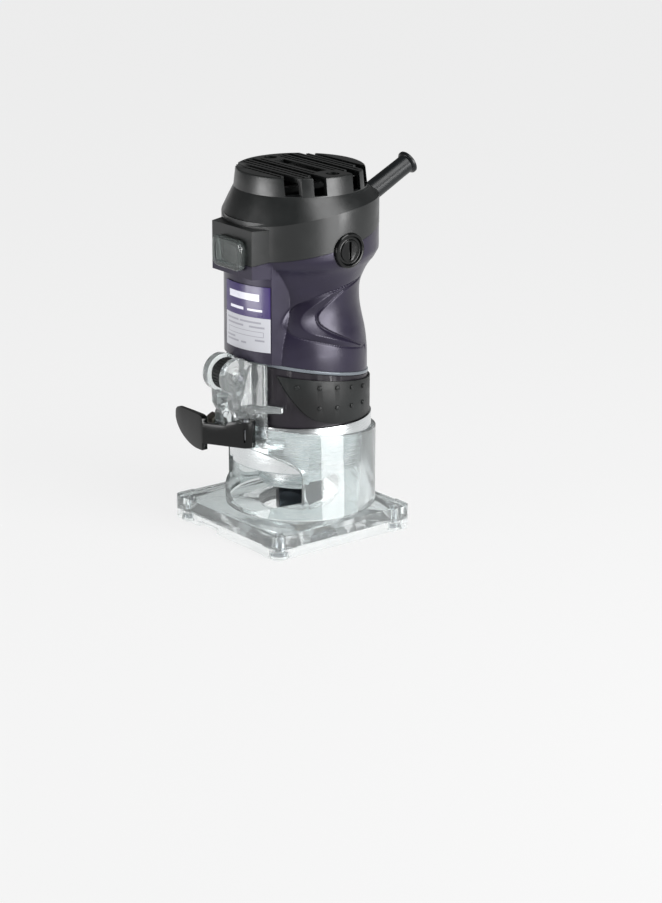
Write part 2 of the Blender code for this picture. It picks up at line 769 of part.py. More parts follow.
def build_brush_set(parent, word, side, brass, carbon, steel, plastic):
    """One brush: its tube, block, spring and screw cap, along X."""
    at = (0, BRUSH_Y, BRUSH_Z)
    tube_profile = [(5.2, 36.0), (5.2, 13.5), (4.4, 13.5), (4.4, 36.0)]
    cap_profile = [
        (0, 41.2),
        (5.6, 41.2),
        (5.6, 40.4),
        (7.0, 40.4),
        (7.6, 41.6),
        (8.6, 41.6),
        (CAP_R, 41.0),
        (CAP_R, 36.6),
        (3.9, 36.6),
        (3.9, 34.5),
        (0, 34.5),
    ]
    holder = turned("brush_holder_" + word, tube_profile, 16, "X")
    cap = turned("brush_cap_" + word, cap_profile, 20, "X")
    cut(cap, box("cap_slot", (39.6, -0.8, -4.6), (50, 0.8, 4.6)))
    brush = box("carbon_brush_" + word, (11.9, -2.8, -2.8), (24.0, 2.8, 2.8), 0.3)
    turns = 4
    points = []
    for i in range(turns * 8 + 1):
        angle = math.pi * i / 4
        points.append((24.8 + 9.0 * i / (turns * 8), 2.7 * math.cos(angle), 2.7 * math.sin(angle)))
    spring = tube("brush_spring_" + word, points, 0.35, sides=0)
    for obj, colour in ((holder, brass), (cap, plastic), (brush, carbon), (spring, steel)):
        settle(obj)
        if side < 0:
            obj.data.transform(Matrix.Rotation(math.pi, 4, "Z"))
        finish(obj, parent, colour, at)


# ---------------------------------------------------------------- motor inside

CORE_LOW = 98.0
CORE_HIGH = 131.0


def build_stator(parent, colour):
    stator = turned("stator_core", [(27.2, CORE_HIGH), (27.2, CORE_LOW), (23.4, CORE_LOW), (23.4, CORE_HIGH)], 32)
    for side in (90, 270):
        pole = [*arc(17.7, side - 42, side + 42, 8), *reversed(arc(24.5, side - 42, side + 42, 8))]
        join(stator, plate("pole", pole, CORE_LOW, CORE_HIGH))
    return finish(stator, parent, colour)


def build_coils(parent, colour):
    """Each field coil lies in the slots beside one pole and passes over the pole's two ends."""
    for name, side in (("field_coil_right", 90), ("field_coil_left", 270)):
        low, high = CORE_LOW - 3.6, CORE_HIGH + 3.6
        over = [(*on_circle(20.6, side + t), high) for t in range(-52, 53, 13)]
        under = [(*on_circle(20.6, side + t), low) for t in range(52, -53, -13)]
        down = [(*on_circle(20.6, side + 59), z) for z in (high - 2, low + 2)]
        up = [(*on_circle(20.6, side - 59), z) for z in (low + 2, high - 2)]
        coil = tube(name, [*over, *down, *under, *up], 2.1, cyclic=True)
        finish(coil, parent, colour)


def build_bridge(parent, colour):
    """The bridge across the housing that carries the upper bearing and takes the cover screws."""
    bridge = box("bearing_bridge", (-32, -7, 161.5), (32, 7, 165.2), 0.5)
    join(bridge, cylinder("seat", 13.5, (0, 0, 161.5), (0, 0, 172.5), segments=32))
    cut(
        bridge,
        cylinder("bearing_room", 11.3, (0, 0, 163.7), (0, 0, 180), segments=32),
        cylinder("shaft_room", 7.0, (0, 0, 150), (0, 0, 180), segments=24),
    )
    for side in (-1, 1):
        cut(bridge, cylinder("pilot", 1.8, (side * 26.0, 0.5, 150), (side * 26.0, 0.5, 180), segments=10))
    return finish(bridge, parent, colour)


def build_bearing(name, parent, colour, outer, bore, low, high):
    profile = [(outer, high), (outer, low), (bore, low), (bore, high)]
    return finish(turned(name, profile, 20), parent, colour)


# ---------------------------------------------------------------- spindle


def build_shaft(parent, colour):
    """The armature shaft. Its lower end is bored for the cutter's shank."""
    profile = [
        (0, 171.8),
        (3.7, 171.8),
        (3.7, 162.6),
        (4.9, 162.6),
        (4.9, 36.4),
        (5.7, 36.4),
        (5.7, 25.0),
        (5.7, 17.4),
        (BIT_BORE, 17.4),
        (BIT_BORE, 27.0),
        (0, 28.6),
    ]
    return finish(turned("armature_shaft", profile, 16), parent, colour)


def build_armature(parent, steel, copper, dark):
    core = [(17.2, CORE_HIGH - 0.5), (17.2, CORE_LOW + 0.5), (14.8, CORE_LOW + 0.5), (14.8, CORE_HIGH - 0.5)]
    finish(turned("armature_core", core, 24), parent, steel)
    winding = [
        (13.0, 139.0),
        (15.6, 136.5),
        (15.6, 131.2),
        (14.5, 131.0),
        (14.5, 98.0),
        (15.6, 97.8),
        (15.6, 92.5),
        (13.0, 90.0),
        (5.2, 90.0),
        (5.2, 139.0),
    ]
    finish(turned("armature_winding", winding, 20), parent, copper)
    segments = [(11.5, 160.8), (11.5, 147.0), (12.3, 146.6), (12.3, 144.5), (5.2, 144.5), (5.2, 160.8)]
    finish(turned("commutator", segments, 24), parent, copper)
    build_fan(parent, dark)


def build_fan(parent, colour):
    fan = turned("cooling_fan", [(26.5, 68.0), (26.5, 66.4), (5.2, 66.4), (5.2, 78.0), (8.5, 78.0), (9.5, 68.0)], 27)
    blades = 9
    for i in range(blades):
        blade = box("blade", (8.6, -0.7, 67.0), (25.5, 0.7, 76.5))
        blade.data.transform(Matrix.Rotation(2 * math.pi * i / blades, 4, "Z"))
        join(fan, blade)
    return finish(fan, parent, colour)


def build_collet(parent, bronze, steel, black):
    ring = [(9.0, 23.6), (9.8, 22.6), (9.8, 20.9), (6.0, 20.9), (6.0, 23.6)]
    finish(turned("spindle_ring", ring, 20), parent, bronze)
    collet = [(5.2, 17.0), (5.2, 12.0), (4.6, 7.6), (BIT_BORE, 7.6), (BIT_BORE, 17.0)]
    finish(turned("collet", collet, 16), parent, steel)
    corner = NUT_FLATS / math.sqrt(3)
    nut = cylinder("collet_nut", corner, (0, 0, NUT_LOW), (0, 0, NUT_HIGH), segments=6, phase=30)
    round_off = [(9.6, 21.2), (14.2, 17.0), (14.2, 7.0), (12.6, 5.4)]
    keep(nut, turned("round_off", [(0, 21.2), *round_off, (0, 5.4)], 24))
    inner = [(6.0, 30), (6.0, 17.2), (5.6, 17.0), (5.6, 12.0), (4.9, 7.4), (4.4, 5.0), (0, 5.0)]
    cut(nut, turned("nut_room", [(0, 30), *inner], 24))
    return finish(nut, parent, black)


# ---------------------------------------------------------------- assembly


def palette():
    return {
        "clear": material("clear_acrylic", (0.82, 0.86, 0.86), 0.05, transmission=0.9),
        "purple": material("violet_nylon", (0.045, 0.035, 0.07), 0.4),
        "band": material("plum_nylon", (0.05, 0.045, 0.055), 0.45),
        "black": material("black_nylon", (0.025, 0.027, 0.028), 0.5),
        "gloss": material("gloss_black", (0.012, 0.013, 0.014), 0.25),
        "rubber": material("black_rubber", (0.03, 0.032, 0.033), 0.7),
        "boot": material("clear_rubber", (0.4, 0.42, 0.42), 0.2, transmission=0.6),
        "seal": material("grey_seal", (0.45, 0.47, 0.5), 0.4),
        "label": material("printed_label", (0.7, 0.7, 0.72), 0.4),
        "aluminium": material("cast_aluminium", (0.75, 0.76, 0.77), 0.3, 1.0),
        "steel": material("steel", (0.55, 0.55, 0.56), 0.35, 1.0),
        "oxide": material("black_oxide", (0.03, 0.032, 0.035), 0.4, 1.0),
        "brass": material("brass", (0.7, 0.5, 0.25), 0.3, 1.0),
        "bronze": material("bronze", (0.35, 0.25, 0.14), 0.35, 1.0),
        "copper": material("copper", (0.7, 0.3, 0.15), 0.4, 1.0),
        "carbon": material("carbon", (0.04, 0.04, 0.04), 0.6),
        "lamination": material("lamination_steel", (0.3, 0.3, 0.31), 0.5, 1.0),
    }


def build_base(base, colours):
    build_base_moulding(base, colours["clear"])
    build_sole(base, colours["clear"])
    build_sole_screws(base, colours["steel"])
    build_clamp_bolt(base, colours["steel"])
    build_clamp_nut(base, colours["steel"])
    build_lever_pin(base, colours["steel"])
    build_roller_axle(base, colours["steel"])
    lever = pivot("lever_pivot", (LEVER_X, BOLT_Y, 0), base)
    build_lever(lever, colours["gloss"])
    roller = pivot("roller_pivot", (0, ROLLER_Y, ROLLER_Z), base)
    build_roller(roller, colours["rubber"], colours["black"])


def build_motor(motor, colours):
    build_bracket(motor, colours["aluminium"])
    build_bracket_screws(motor, colours["steel"])
    build_lower_sleeve(motor, colours["band"])
    build_rim_strip(motor, colours["seal"])
    build_grips(motor, colours["rubber"])
    build_housing(motor, colours["purple"])
    build_cover(motor, colours["black"])
    build_cover_screws(motor, colours["steel"])
    build_label(motor, colours["label"])
    build_cord_guard(motor, colours["rubber"])
    build_switch_body(motor, colours["black"])
    build_boot(motor, colours["boot"])
    rocker = pivot("rocker_pivot", (0, ROCKER_Y, SWITCH_Z), motor)
    build_rocker(rocker, colours["gloss"])
    for word, side in (("right", 1), ("left", -1)):
        build_brush_set(
            motor, word, side, colours["brass"], colours["carbon"], colours["steel"], colours["black"]
        )
    build_stator(motor, colours["lamination"])
    build_coils(motor, colours["copper"])
    build_bridge(motor, colours["black"])
    build_bearing("upper_bearing", motor, colours["steel"], 11.0, 4.0, 164.0, 171.0)
    build_bearing("lower_bearing", motor, colours["steel"], 14.0, 6.0, 26.8, 34.8)


def build_spindle(spindle, colours):
    build_shaft(spindle, colours["steel"])
    build_armature(spindle, colours["lamination"], colours["copper"], colours["black"])
    build_collet(spindle, colours["bronze"], colours["steel"], colours["oxide"])


def main():
    clear_scene()
    collection(PARTS)
    cutters = collection(CUTTERS)
    cutters.hide_render = True
    colours = palette()
    base = pivot("spindle_axis", (0, AXIS_Y, 0))
    build_base(base, colours)
    motor = pivot("motor_slide", (0, 0, 0), base)
    build_motor(motor, colours)
    spindle = pivot("spindle_turn", (0, 0, 0), motor)
    build_spindle(spindle, colours)


main()
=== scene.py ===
"""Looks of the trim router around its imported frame: finishes, detailed pieces, stage, lights and camera.

Sizes are in millimetres about the spindle's axis, with height measured from the underside of the foot.
"""

import logging
import math
from dataclasses import dataclass
from enum import Enum
from typing import Any, Optional, Sequence

import bpy
from mathutils import Matrix, Vector


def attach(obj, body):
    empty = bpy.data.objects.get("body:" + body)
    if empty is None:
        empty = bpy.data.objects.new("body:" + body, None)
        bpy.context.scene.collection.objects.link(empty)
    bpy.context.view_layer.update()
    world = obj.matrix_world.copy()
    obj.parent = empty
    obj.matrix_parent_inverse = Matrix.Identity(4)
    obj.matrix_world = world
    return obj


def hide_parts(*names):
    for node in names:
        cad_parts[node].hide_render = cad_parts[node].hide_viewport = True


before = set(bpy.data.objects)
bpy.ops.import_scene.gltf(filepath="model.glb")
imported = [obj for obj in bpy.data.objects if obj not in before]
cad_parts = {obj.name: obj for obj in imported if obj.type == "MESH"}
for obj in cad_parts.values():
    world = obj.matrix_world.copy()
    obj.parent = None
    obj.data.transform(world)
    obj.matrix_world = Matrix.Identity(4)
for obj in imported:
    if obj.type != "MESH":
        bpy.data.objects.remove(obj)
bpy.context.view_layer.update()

MM = 0.001
AXIS_Y = -7.8
Point = tuple[float, float]
Place = tuple[float, float, float]
Area = tuple[float, float, float, float]
MERGE = 0.000002  # metres within which two vertices are one
LOW_NOISE, HIGH_NOISE = 0.35, 0.7  # where most of a noise texture's values lie
log = logging.getLogger("trim_router")


class Axis(Enum):
    """The direction that a turned piece or a slab is drawn out along."""

    X = "X"
    Y = "Y"
    Z = "Z"

    def matrix(self) -> Matrix:
        """Returns the turn that takes +Z to this axis, with the outline's own axes kept upright."""
        if self is Axis.X:
            return Matrix(((0, 0, 1, 0), (1, 0, 0, 0), (0, 1, 0, 0), (0, 0, 0, 1)))
        if self is Axis.Y:
            return Matrix(((1, 0, 0, 0), (0, 0, -1, 0), (0, 1, 0, 0), (0, 0, 0, 1)))
        return Matrix.Identity(4)


class Body(Enum):
    """The moving bodies of the frame."""

    BASE = "base"
    LEVER = "lever"
    ROLLER = "roller"
    MOTOR = "motor"
    SPINDLE = "spindle"
    ROCKER = "rocker"


# ------------------------------------------------------------------ finishes


def linear(code: str) -> tuple[float, float, float, float]:
    """Turns an sRGB hex value to linear light.

    Args:
        code: Six hex digits with a leading hash.

    Returns:
        Red, green, blue and an alpha of 1.
    """
    parts = [int(code[i : i + 2], 16) / 255 for i in (1, 3, 5)]
    red, green, blue = (c / 12.92 if c <= 0.04045 else ((c + 0.055) / 1.055) ** 2.4 for c in parts)
    return red, green, blue, 1.0


def per_mm(size: float) -> float:
    """Returns the noise scale whose features are about this many millimetres across."""
    return 1.0 / (size * MM)


def add_node(
    tree: bpy.types.NodeTree,
    kind: str,
    values: Optional[dict[Any, Any]] = None,
    links: Optional[dict[Any, bpy.types.NodeSocket]] = None,
    **settings: Any,
) -> bpy.types.Node:
    """Adds a node with its settings, its input values and its links.

    Args:
        tree: The material's node tree.
        kind: The node's type name.
        values: Input values by socket name or number.
        links: Sockets to link, by input name or number.
        **settings: The node's own properties.

    Returns:
        The new node.
    """
    node = tree.nodes.new(kind)
    for key, value in settings.items():
        setattr(node, key, value)
    for key, value in (values or {}).items():
        node.inputs[key].default_value = value
    for key, socket in (links or {}).items():
        tree.links.new(socket, node.inputs[key])
    return node


@dataclass(frozen=True)
class Finish:
    """A surface: what it is made of, its colours and how rough it is."""

    name: str
    colour: str
    second: str
    roughness: float
    slot: str

    def make(self) -> bpy.types.Material:
        """Returns the material, which is built once."""
        made = bpy.data.materials.get(self.name)
        if made:
            return made
        made = bpy.data.materials.new(self.name)
        made.use_nodes = True
        tree = made.node_tree
        shader = tree.nodes["Principled BSDF"]
        where = add_node(tree, "ShaderNodeTexCoord").outputs["Object"]
        self.build(tree, shader, where)
        return made

    def build(self, tree: bpy.types.NodeTree, shader: bpy.types.Node, where: bpy.types.NodeSocket) -> None:
        """Fills the shader in.

        Args:
            tree: The material's node tree.
            shader: Its Principled BSDF.
            where: Object coordinates.
        """
        raise NotImplementedError

    def tint(
        self,
        tree: bpy.types.NodeTree,
        shader: bpy.types.Node,
        factor: bpy.types.NodeSocket,
        low: float = LOW_NOISE,
        high: float = HIGH_NOISE,
    ) -> None:
        """Mixes the two colours by a pattern.

        Args:
            tree: The material's node tree.
            shader: Its Principled BSDF.
            factor: The pattern.
            low: The pattern's value that gives the first colour.
            high: The value that gives the second.
        """
        ramp = add_node(tree, "ShaderNodeValToRGB", links={"Fac": factor})
        ramp.color_ramp.elements[0].position = low
        ramp.color_ramp.elements[1].position = high
        ramp.color_ramp.elements[0].color = linear(self.colour)
        ramp.color_ramp.elements[1].color = linear(self.second)
        tree.links.new(ramp.outputs["Color"], shader.inputs["Base Color"])

    def vary(
        self, tree: bpy.types.NodeTree, shader: bpy.types.Node, factor: bpy.types.NodeSocket, spread: float
    ) -> None:
        """Lets the roughness wander about its own value by a pattern.

        Args:
            tree: The material's node tree.
            shader: Its Principled BSDF.
            factor: The pattern.
            spread: How far the roughness goes to each side.
        """
        limits = {"To Min": self.roughness - spread, "To Max": self.roughness + spread}
        span = add_node(
            tree, "ShaderNodeMapRange", {"From Min": 0.3, "From Max": 0.7, **limits}, {"Value": factor}
        )
        tree.links.new(span.outputs["Result"], shader.inputs["Roughness"])

    def emboss(
        self, tree: bpy.types.NodeTree, shader: bpy.types.Node, height: bpy.types.NodeSocket, depth: float
    ) -> None:
        """Raises the surface by a pattern.

        Args:
            tree: The material's node tree.
            shader: Its Principled BSDF.
            height: The pattern.
            depth: The pattern's depth in millimetres.
        """
        bump = add_node(tree, "ShaderNodeBump", {"Distance": depth * MM, "Strength": 0.8}, {"Height": height})
        tree.links.new(bump.outputs["Normal"], shader.inputs["Normal"])


@dataclass(frozen=True)
class Moulded(Finish):
    """Injection-moulded plastic or rubber: a spark-eroded grain, slow mottling and handling marks."""

    grain: float = 0.5
    depth: float = 0.02
    metallic: float = 0.0
    specular: float = 0.35

    def build(self, tree: bpy.types.NodeTree, shader: bpy.types.Node, where: bpy.types.NodeSocket) -> None:
        """Fills the shader in.

        Args:
            tree: The material's node tree.
            shader: Its Principled BSDF.
            where: Object coordinates.
        """
        shader.inputs["Metallic"].default_value = self.metallic
        shader.inputs["IOR"].default_value = 1.5
        shader.inputs["Specular IOR Level"].default_value = self.specular
        # Mottling from the mould is about 26 mm across, and handling marks about 6 mm.
        slow = add_node(tree, "ShaderNodeTexNoise", {"Scale": per_mm(26.0), "Detail": 3.0}, {"Vector": where})
        marks = add_node(tree, "ShaderNodeTexNoise", {"Scale": per_mm(6.0), "Detail": 6.0}, {"Vector": where})
        # The real grain is about 0.1 mm and is drawn coarser, so that it shows.
        fine = add_node(
            tree, "ShaderNodeTexNoise", {"Scale": per_mm(self.grain), "Detail": 2.0}, {"Vector": where}
        )
        self.tint(tree, shader, slow.outputs["Fac"])
        self.vary(tree, shader, marks.outputs["Fac"], 0.05)
        self.emboss(tree, shader, fine.outputs["Fac"], self.depth)


@dataclass(frozen=True)
class Clear(Finish):
    """Clear moulded plastic: flow waves from the mould and fine rubbed scratches."""

    wave: float = 9.0
    depth: float = 0.05
    clearness: float = 0.8
    index: float = 1.49

    def build(self, tree: bpy.types.NodeTree, shader: bpy.types.Node, where: bpy.types.NodeSocket) -> None:
        """Fills the shader in.

        Args:
            tree: The material's node tree.
            shader: Its Principled BSDF.
            where: Object coordinates.
        """
        shader.inputs["Transmission Weight"].default_value = self.clearness
        shader.inputs["IOR"].default_value = self.index
        flow = add_node(
            tree, "ShaderNodeTexNoise", {"Scale": per_mm(self.wave), "Detail": 1.5}, {"Vector": where}
        )
        # Scratches are hair-thin and are drawn about 0.4 mm wide, so that they show.
        rub = add_node(
            tree, "ShaderNodeMapping", {"Scale": (1.0, 9.0, 1.0), "Rotation": (0, 0, 0.6)}, {"Vector": where}
        )
        scratch = add_node(
            tree, "ShaderNodeTexNoise", {"Scale": per_mm(4.0), "Detail": 5.0}, {"Vector": rub.outputs["Vector"]}
        )
        self.tint(tree, shader, flow.outputs["Fac"], 0.3, 0.7)
        self.vary(tree, shader, scratch.outputs["Fac"], 0.035)
        self.emboss(tree, shader, flow.outputs["Fac"], self.depth)


@dataclass(frozen=True)
class Turned(Finish):
    """Metal that has been turned or drawn: fine lines round it, with slow stains."""

    pitch: float = 0.4
    depth: float = 0.006
    along: Axis = Axis.Z

    def build(self, tree: bpy.types.NodeTree, shader: bpy.types.Node, where: bpy.types.NodeSocket) -> None:
        """Fills the shader in.

        Args:
            tree: The material's node tree.
            shader: Its Principled BSDF.
            where: Object coordinates.
        """
        shader.inputs["Metallic"].default_value = 1.0
        stretch = [1.0 if axis is self.along else 0.04 for axis in Axis]
        lay = add_node(tree, "ShaderNodeMapping", {"Scale": stretch}, {"Vector": where})
        # Tool marks are about 0.1 mm apart and are drawn coarser, so that they show.
        scale = {"Scale": per_mm(self.pitch), "Detail": 3.0}
        lines = add_node(tree, "ShaderNodeTexNoise", scale, {"Vector": lay.outputs["Vector"]})
        stain = add_node(tree, "ShaderNodeTexNoise", {"Scale": per_mm(14.0), "Detail": 4.0}, {"Vector": where})
        self.tint(tree, shader, stain.outputs["Fac"])
        self.vary(tree, shader, lines.outputs["Fac"], 0.07)
        self.emboss(tree, shader, lines.outputs["Fac"], self.depth)


@dataclass(frozen=True)
class Striped(Finish):
    """Wound wire, stacked sheets or copper bars: even bands with a dark line between them."""

    pitch: float = 1.0
    metallic: float = 1.0
    along: Axis = Axis.Z
    depth: float = 0.15

    def build(self, tree: bpy.types.NodeTree, shader: bpy.types.Node, where: bpy.types.NodeSocket) -> None:
        """Fills the shader in.

        Args:
            tree: The material's node tree.
            shader: Its Principled BSDF.
            where: Object coordinates.
        """
        shader.inputs["Metallic"].default_value = self.metallic
        # A wave's bands are 20 to the unit at a scale of 1, so this gives one band to each pitch.
        bands = add_node(
            tree,
            "ShaderNodeTexWave",
            {"Scale": per_mm(self.pitch) / 20.0 * math.tau / 2.0, "Distortion": 0.3, "Detail": 1.0},
            {"Vector": where},
            bands_direction=self.along.value,
        )
        stain = add_node(tree, "ShaderNodeTexNoise", {"Scale": per_mm(5.0), "Detail": 3.0}, {"Vector": where})
        self.tint(tree, shader, bands.outputs["Fac"], 0.05, 0.4)
        self.vary(tree, shader, stain.outputs["Fac"], 0.08)
        self.emboss(tree, shader, bands.outputs["Fac"], self.depth)


@dataclass(frozen=True)
class Printed(Finish):
    """A printed and laminated sheet: a coloured head over a pale field, with plain grey rules as its print."""

    ink: str = "#8E8E96"
    pale: str = "#D9D9E4"
    split: float = 119.2
    rules: tuple[Area, ...] = ()
    heads: tuple[Area, ...] = ()

    def patch(
        self, tree: bpy.types.NodeTree, across: bpy.types.NodeSocket, up: bpy.types.NodeSocket, area: Area
    ) -> bpy.types.NodeSocket:
        """Masks a rectangle of the sheet.

        Args:
            tree: The material's node tree.
            across: The X coordinate.
            up: The Z coordinate.
            area: Middle X, middle Z, width and height in millimetres.

        Returns:
            A value that is 1 inside the rectangle.
        """
        middle_x, middle_z, width, height = area
        near = {}
        for place, (socket, middle, size) in enumerate(((across, middle_x, width), (up, middle_z, height))):
            span = {1: middle * MM, 2: size / 2 * MM}
            near[place] = add_node(tree, "ShaderNodeMath", span, {0: socket}, operation="COMPARE").outputs[0]
        return add_node(tree, "ShaderNodeMath", links=near, operation="MULTIPLY").outputs[0]

    def build(self, tree: bpy.types.NodeTree, shader: bpy.types.Node, where: bpy.types.NodeSocket) -> None:
        """Fills the shader in.

        Args:
            tree: The material's node tree.
            shader: Its Principled BSDF.
            where: Object coordinates.
        """
        shader.inputs["Coat Weight"].default_value = 0.3
        shader.inputs["Coat Roughness"].default_value = 0.15
        parts = add_node(tree, "ShaderNodeSeparateXYZ", links={0: where})
        across, up = parts.outputs["X"], parts.outputs["Z"]
        head = add_node(tree, "ShaderNodeMath", {1: self.split * MM}, {0: up}, operation="GREATER_THAN")
        fade = add_node(tree, "ShaderNodeTexNoise", {"Scale": per_mm(8.0), "Detail": 4.0}, {"Vector": where})
        # In a colour Mix node, inputs 6 and 7 are the two colours and output 2 is the result.
        both = {6: linear(self.colour), 7: linear(self.second)}
        tone = add_node(tree, "ShaderNodeMix", both, {0: head.outputs[0]}, data_type="RGBA").outputs[2]
        for areas, ink in ((self.rules, self.ink), (self.heads, self.pale)):
            for area in areas:
                links = {0: self.patch(tree, across, up, area), 6: tone}
                tone = add_node(tree, "ShaderNodeMix", {7: linear(ink)}, links, data_type="RGBA").outputs[2]
        tree.links.new(tone, shader.inputs["Base Color"])
        self.vary(tree, shader, fade.outputs["Fac"], 0.08)
        self.emboss(tree, shader, fade.outputs["Fac"], 0.01)


LABEL_RULES = tuple(
    (middle, height, width, 1.0)
    for height, row in (
        (116.6, ((-3.0, 10.0), (9.5, 13.0))),
        (114.2, ((-1.0, 13.0), (13.5, 8.5))),
        (107.4, ((-4.5, 7.5), (15.2, 5.0))),
        (105.4, ((-3.0, 10.0), (5.6, 3.6))),
    )
    for middle, width in row
)
LABEL_FRAME = (
    (5.2, 111.9, 24.0, 0.35),
    (5.2, 109.3, 24.0, 0.35),
    (-6.8, 110.6, 0.35, 2.6),
    (17.2, 110.6, 0.35, 2.6),
)
LABEL_HEADS = ((4.6, 129.6, 21.0, 3.6), (0.4, 123.0, 10.5, 1.5), (12.4, 123.0, 8.4, 1.1))

# Housing: nylon filled with a little metal flake, so its highlights keep the violet.
VIOLET = Moulded("violet_flake_nylon", "#1D1829", "#241F33", 0.32, "violet_nylon", 0.7, 0.004, 0.4, 0.6)
# Cover: charcoal nylon from a spark-eroded mould, matte with a fine sparkle.
CHARCOAL = Moulded("charcoal_spark_nylon", "#0D0F0F", "#141616", 0.34, "black_nylon", 0.45, 0.025, 0.0, 0.5)
# Fan casing: satin nylon, a dull plum beside the brighter housing.
PLUM = Moulded("plum_satin_nylon", "#18151A", "#201C23", 0.36, "plum_nylon", 0.5, 0.012, 0.15)
# Lever and brush caps: nylon from a polished mould, black with small sharp highlights.
GLOSS = Moulded("gloss_black_nylon", "#040505", "#070808", 0.16, "gloss_black", 0.8, 0.006, 0.0, 0.3)
# Side grips: rubber moulded over the casing, soft and dull with broad faint highlights.
GRIP = Moulded("overmoulded_rubber", "#0B0C0C", "#151818", 0.46, "black_rubber", 0.6, 0.02)
# Cord sleeve: extruded rubber, smoother than the grips, so a long highlight runs down it.
GUARD_RUBBER = Moulded("extruded_rubber", "#0B0E10", "#111517", 0.34, "black_rubber", 0.9, 0.006)
# Roller: hard moulded rubber, dusty from handling and nearly without highlights.
TYRE = Moulded("moulded_tyre_rubber", "#151717", "#1C1F1F", 0.6, "black_rubber", 0.5, 0.03)
# Seam strip: pale moulded plastic that reads as a thin silver line.
SEAL = Moulded("pale_seal_plastic", "#5A5F65", "#71777D", 0.3, "grey_seal", 0.6, 0.01, 0.3)
# Switch key: satin nylon, lighter than the box round it, so it shows through its cap.
KEY = Moulded("rocker_nylon", "#2A2D2C", "#343736", 0.3, "gloss_black", 0.6, 0.01)
# Inner parts: unpolished black nylon, flat and even.
INNER = Moulded("inner_black_nylon", "#17191A", "#1E2021", 0.5, "black_nylon", 0.6, 0.02)
# Brushes: pressed carbon, matte with a fine speckle.
CARBON = Moulded("pressed_carbon", "#141414", "#232323", 0.55, "carbon", 0.3, 0.03)
# Base and sole: clear moulded plastic, bright at its edges and wavy where it is thick.
ACRYLIC = Clear("clear_polished_plastic", "#F6FAFA", "#EDF3F3", 0.06, "clear_acrylic", 9.0, 0.05, 0.9, 1.4)
# Dust cap: soft smoky plastic, a little cloudy.
CAP = Clear("smoky_soft_cap", "#AEB6B4", "#9CA4A2", 0.08, "clear_rubber", 5.0, 0.03, 0.92, 1.45)
# Bracket: turned aluminium, bright, with highlights drawn out round it.
ALUMINIUM = Turned("turned_aluminium", "#DDE0E1", "#D2D6D7", 0.24, "cast_aluminium", 0.35, 0.0015)
# Screws and shaft: zinc-plated steel, a greyer and slightly stained metal.
STEEL = Turned("zinc_steel", "#9C9EA2", "#85878B", 0.3, "steel", 0.4, 0.006)
# Bolt, axle and springs: drawn steel that lies across the tool, with clean bright lines along it.
STEEL_X = Turned("drawn_steel_rod", "#B4B6BA", "#95979B", 0.25, "steel", 0.4, 0.006, Axis.X)
# Long screws and lock nut: plated steel with a warm, slightly yellow tone.
BRIGHT = Turned("plated_screw_steel", "#77736B", "#5C5850", 0.32, "steel", 0.3, 0.006)
# Collet nut: steel with black oxide, dark, with a soft metallic edge.
OXIDE = Turned("black_oxide_steel", "#1C1F22", "#2A2E32", 0.36, "black_oxide", 0.5, 0.008)
# Brush holders: drawn brass, yellow with darker stains.
BRASS = Turned("drawn_brass", "#B88F4E", "#9A7439", 0.3, "brass", 0.4, 0.005, Axis.X)
# Spindle ring: sintered bronze, brown and duller than brass.
BRONZE = Turned("sintered_bronze", "#8A6F4B", "#6D5536", 0.38, "bronze", 0.3, 0.01)
# Coils: enamelled wire, orange-brown turns with dark gaps.
COPPER = Striped("enamelled_copper_wire", "#3C1B10", "#B4653A", 0.3, "copper", 0.9)
# Commutator: bare copper with dark lines between its bars.
BARS = Striped("copper_commutator_bars", "#2A1A12", "#C07B4E", 0.3, "copper", 2.2, 1.0, Axis.X, 0.05)
# Cores: stacked and varnished sheets, real 0.5 mm ones drawn 0.8 mm thick so that they show.
STACK = Striped("varnished_lamination_stack", "#26262A", "#5A5A5F", 0.4, "lamination", 0.8, 1.0, Axis.Z, 0.08)
# Label: ink under a clear film, so the print is flat and the sheet shines softly.
LABEL = Printed(
    "laminated_print",
    "#B2B3B9",
    "#2E1E58",
    0.35,
    "printed_label",
    rules=LABEL_RULES + LABEL_FRAME,
    heads=LABEL_HEADS,
)


# ------------------------------------------------------------------ bench


def deselect() -> None:
    """Goes to Object mode with nothing selected."""
    if bpy.context.mode != "OBJECT":
        bpy.ops.object.mode_set(mode="OBJECT")
    bpy.ops.object.select_all(action="DESELECT")


def pick(obj: bpy.types.Object) -> None:
    """Makes this the only selected object."""
    deselect()
    obj.select_set(True)
    bpy.context.view_layer.objects.active = obj


def open_edit(obj: bpy.types.Object) -> None:
    """Goes to Edit mode with the whole mesh selected."""
    pick(obj)
    bpy.ops.object.mode_set(mode="EDIT")
    bpy.ops.mesh.select_mode(type="VERT")
    bpy.ops.mesh.select_all(action="SELECT")


def close_edit() -> None:
    """Goes back to Object mode."""
    bpy.ops.object.mode_set(mode="OBJECT")


def named(name: str) -> bpy.types.Object:
    """Names the object that an operator has just added and lays its place into its mesh.

    Args:
        name: The piece's name.

    Returns:
        The piece.
    """
    obj = bpy.context.active_object
    obj.name = name
    obj.data.name = name
    bpy.ops.object.transform_apply(location=True, rotation=True, scale=True)
    return obj


def modify(obj: bpy.types.Object, kind: str, **settings: Any) -> bpy.types.Object:
    """Adds a modifier and applies it.

    Args:
        obj: The piece.
        kind: The modifier's type.
        **settings: Its properties.

    Returns:
        The same piece.
    """
    pick(obj)
    step = obj.modifiers.new(kind.lower(), kind)
    for key, value in settings.items():
        setattr(step, key, value)
    bpy.ops.object.modifier_apply(modifier=step.name)
    return obj


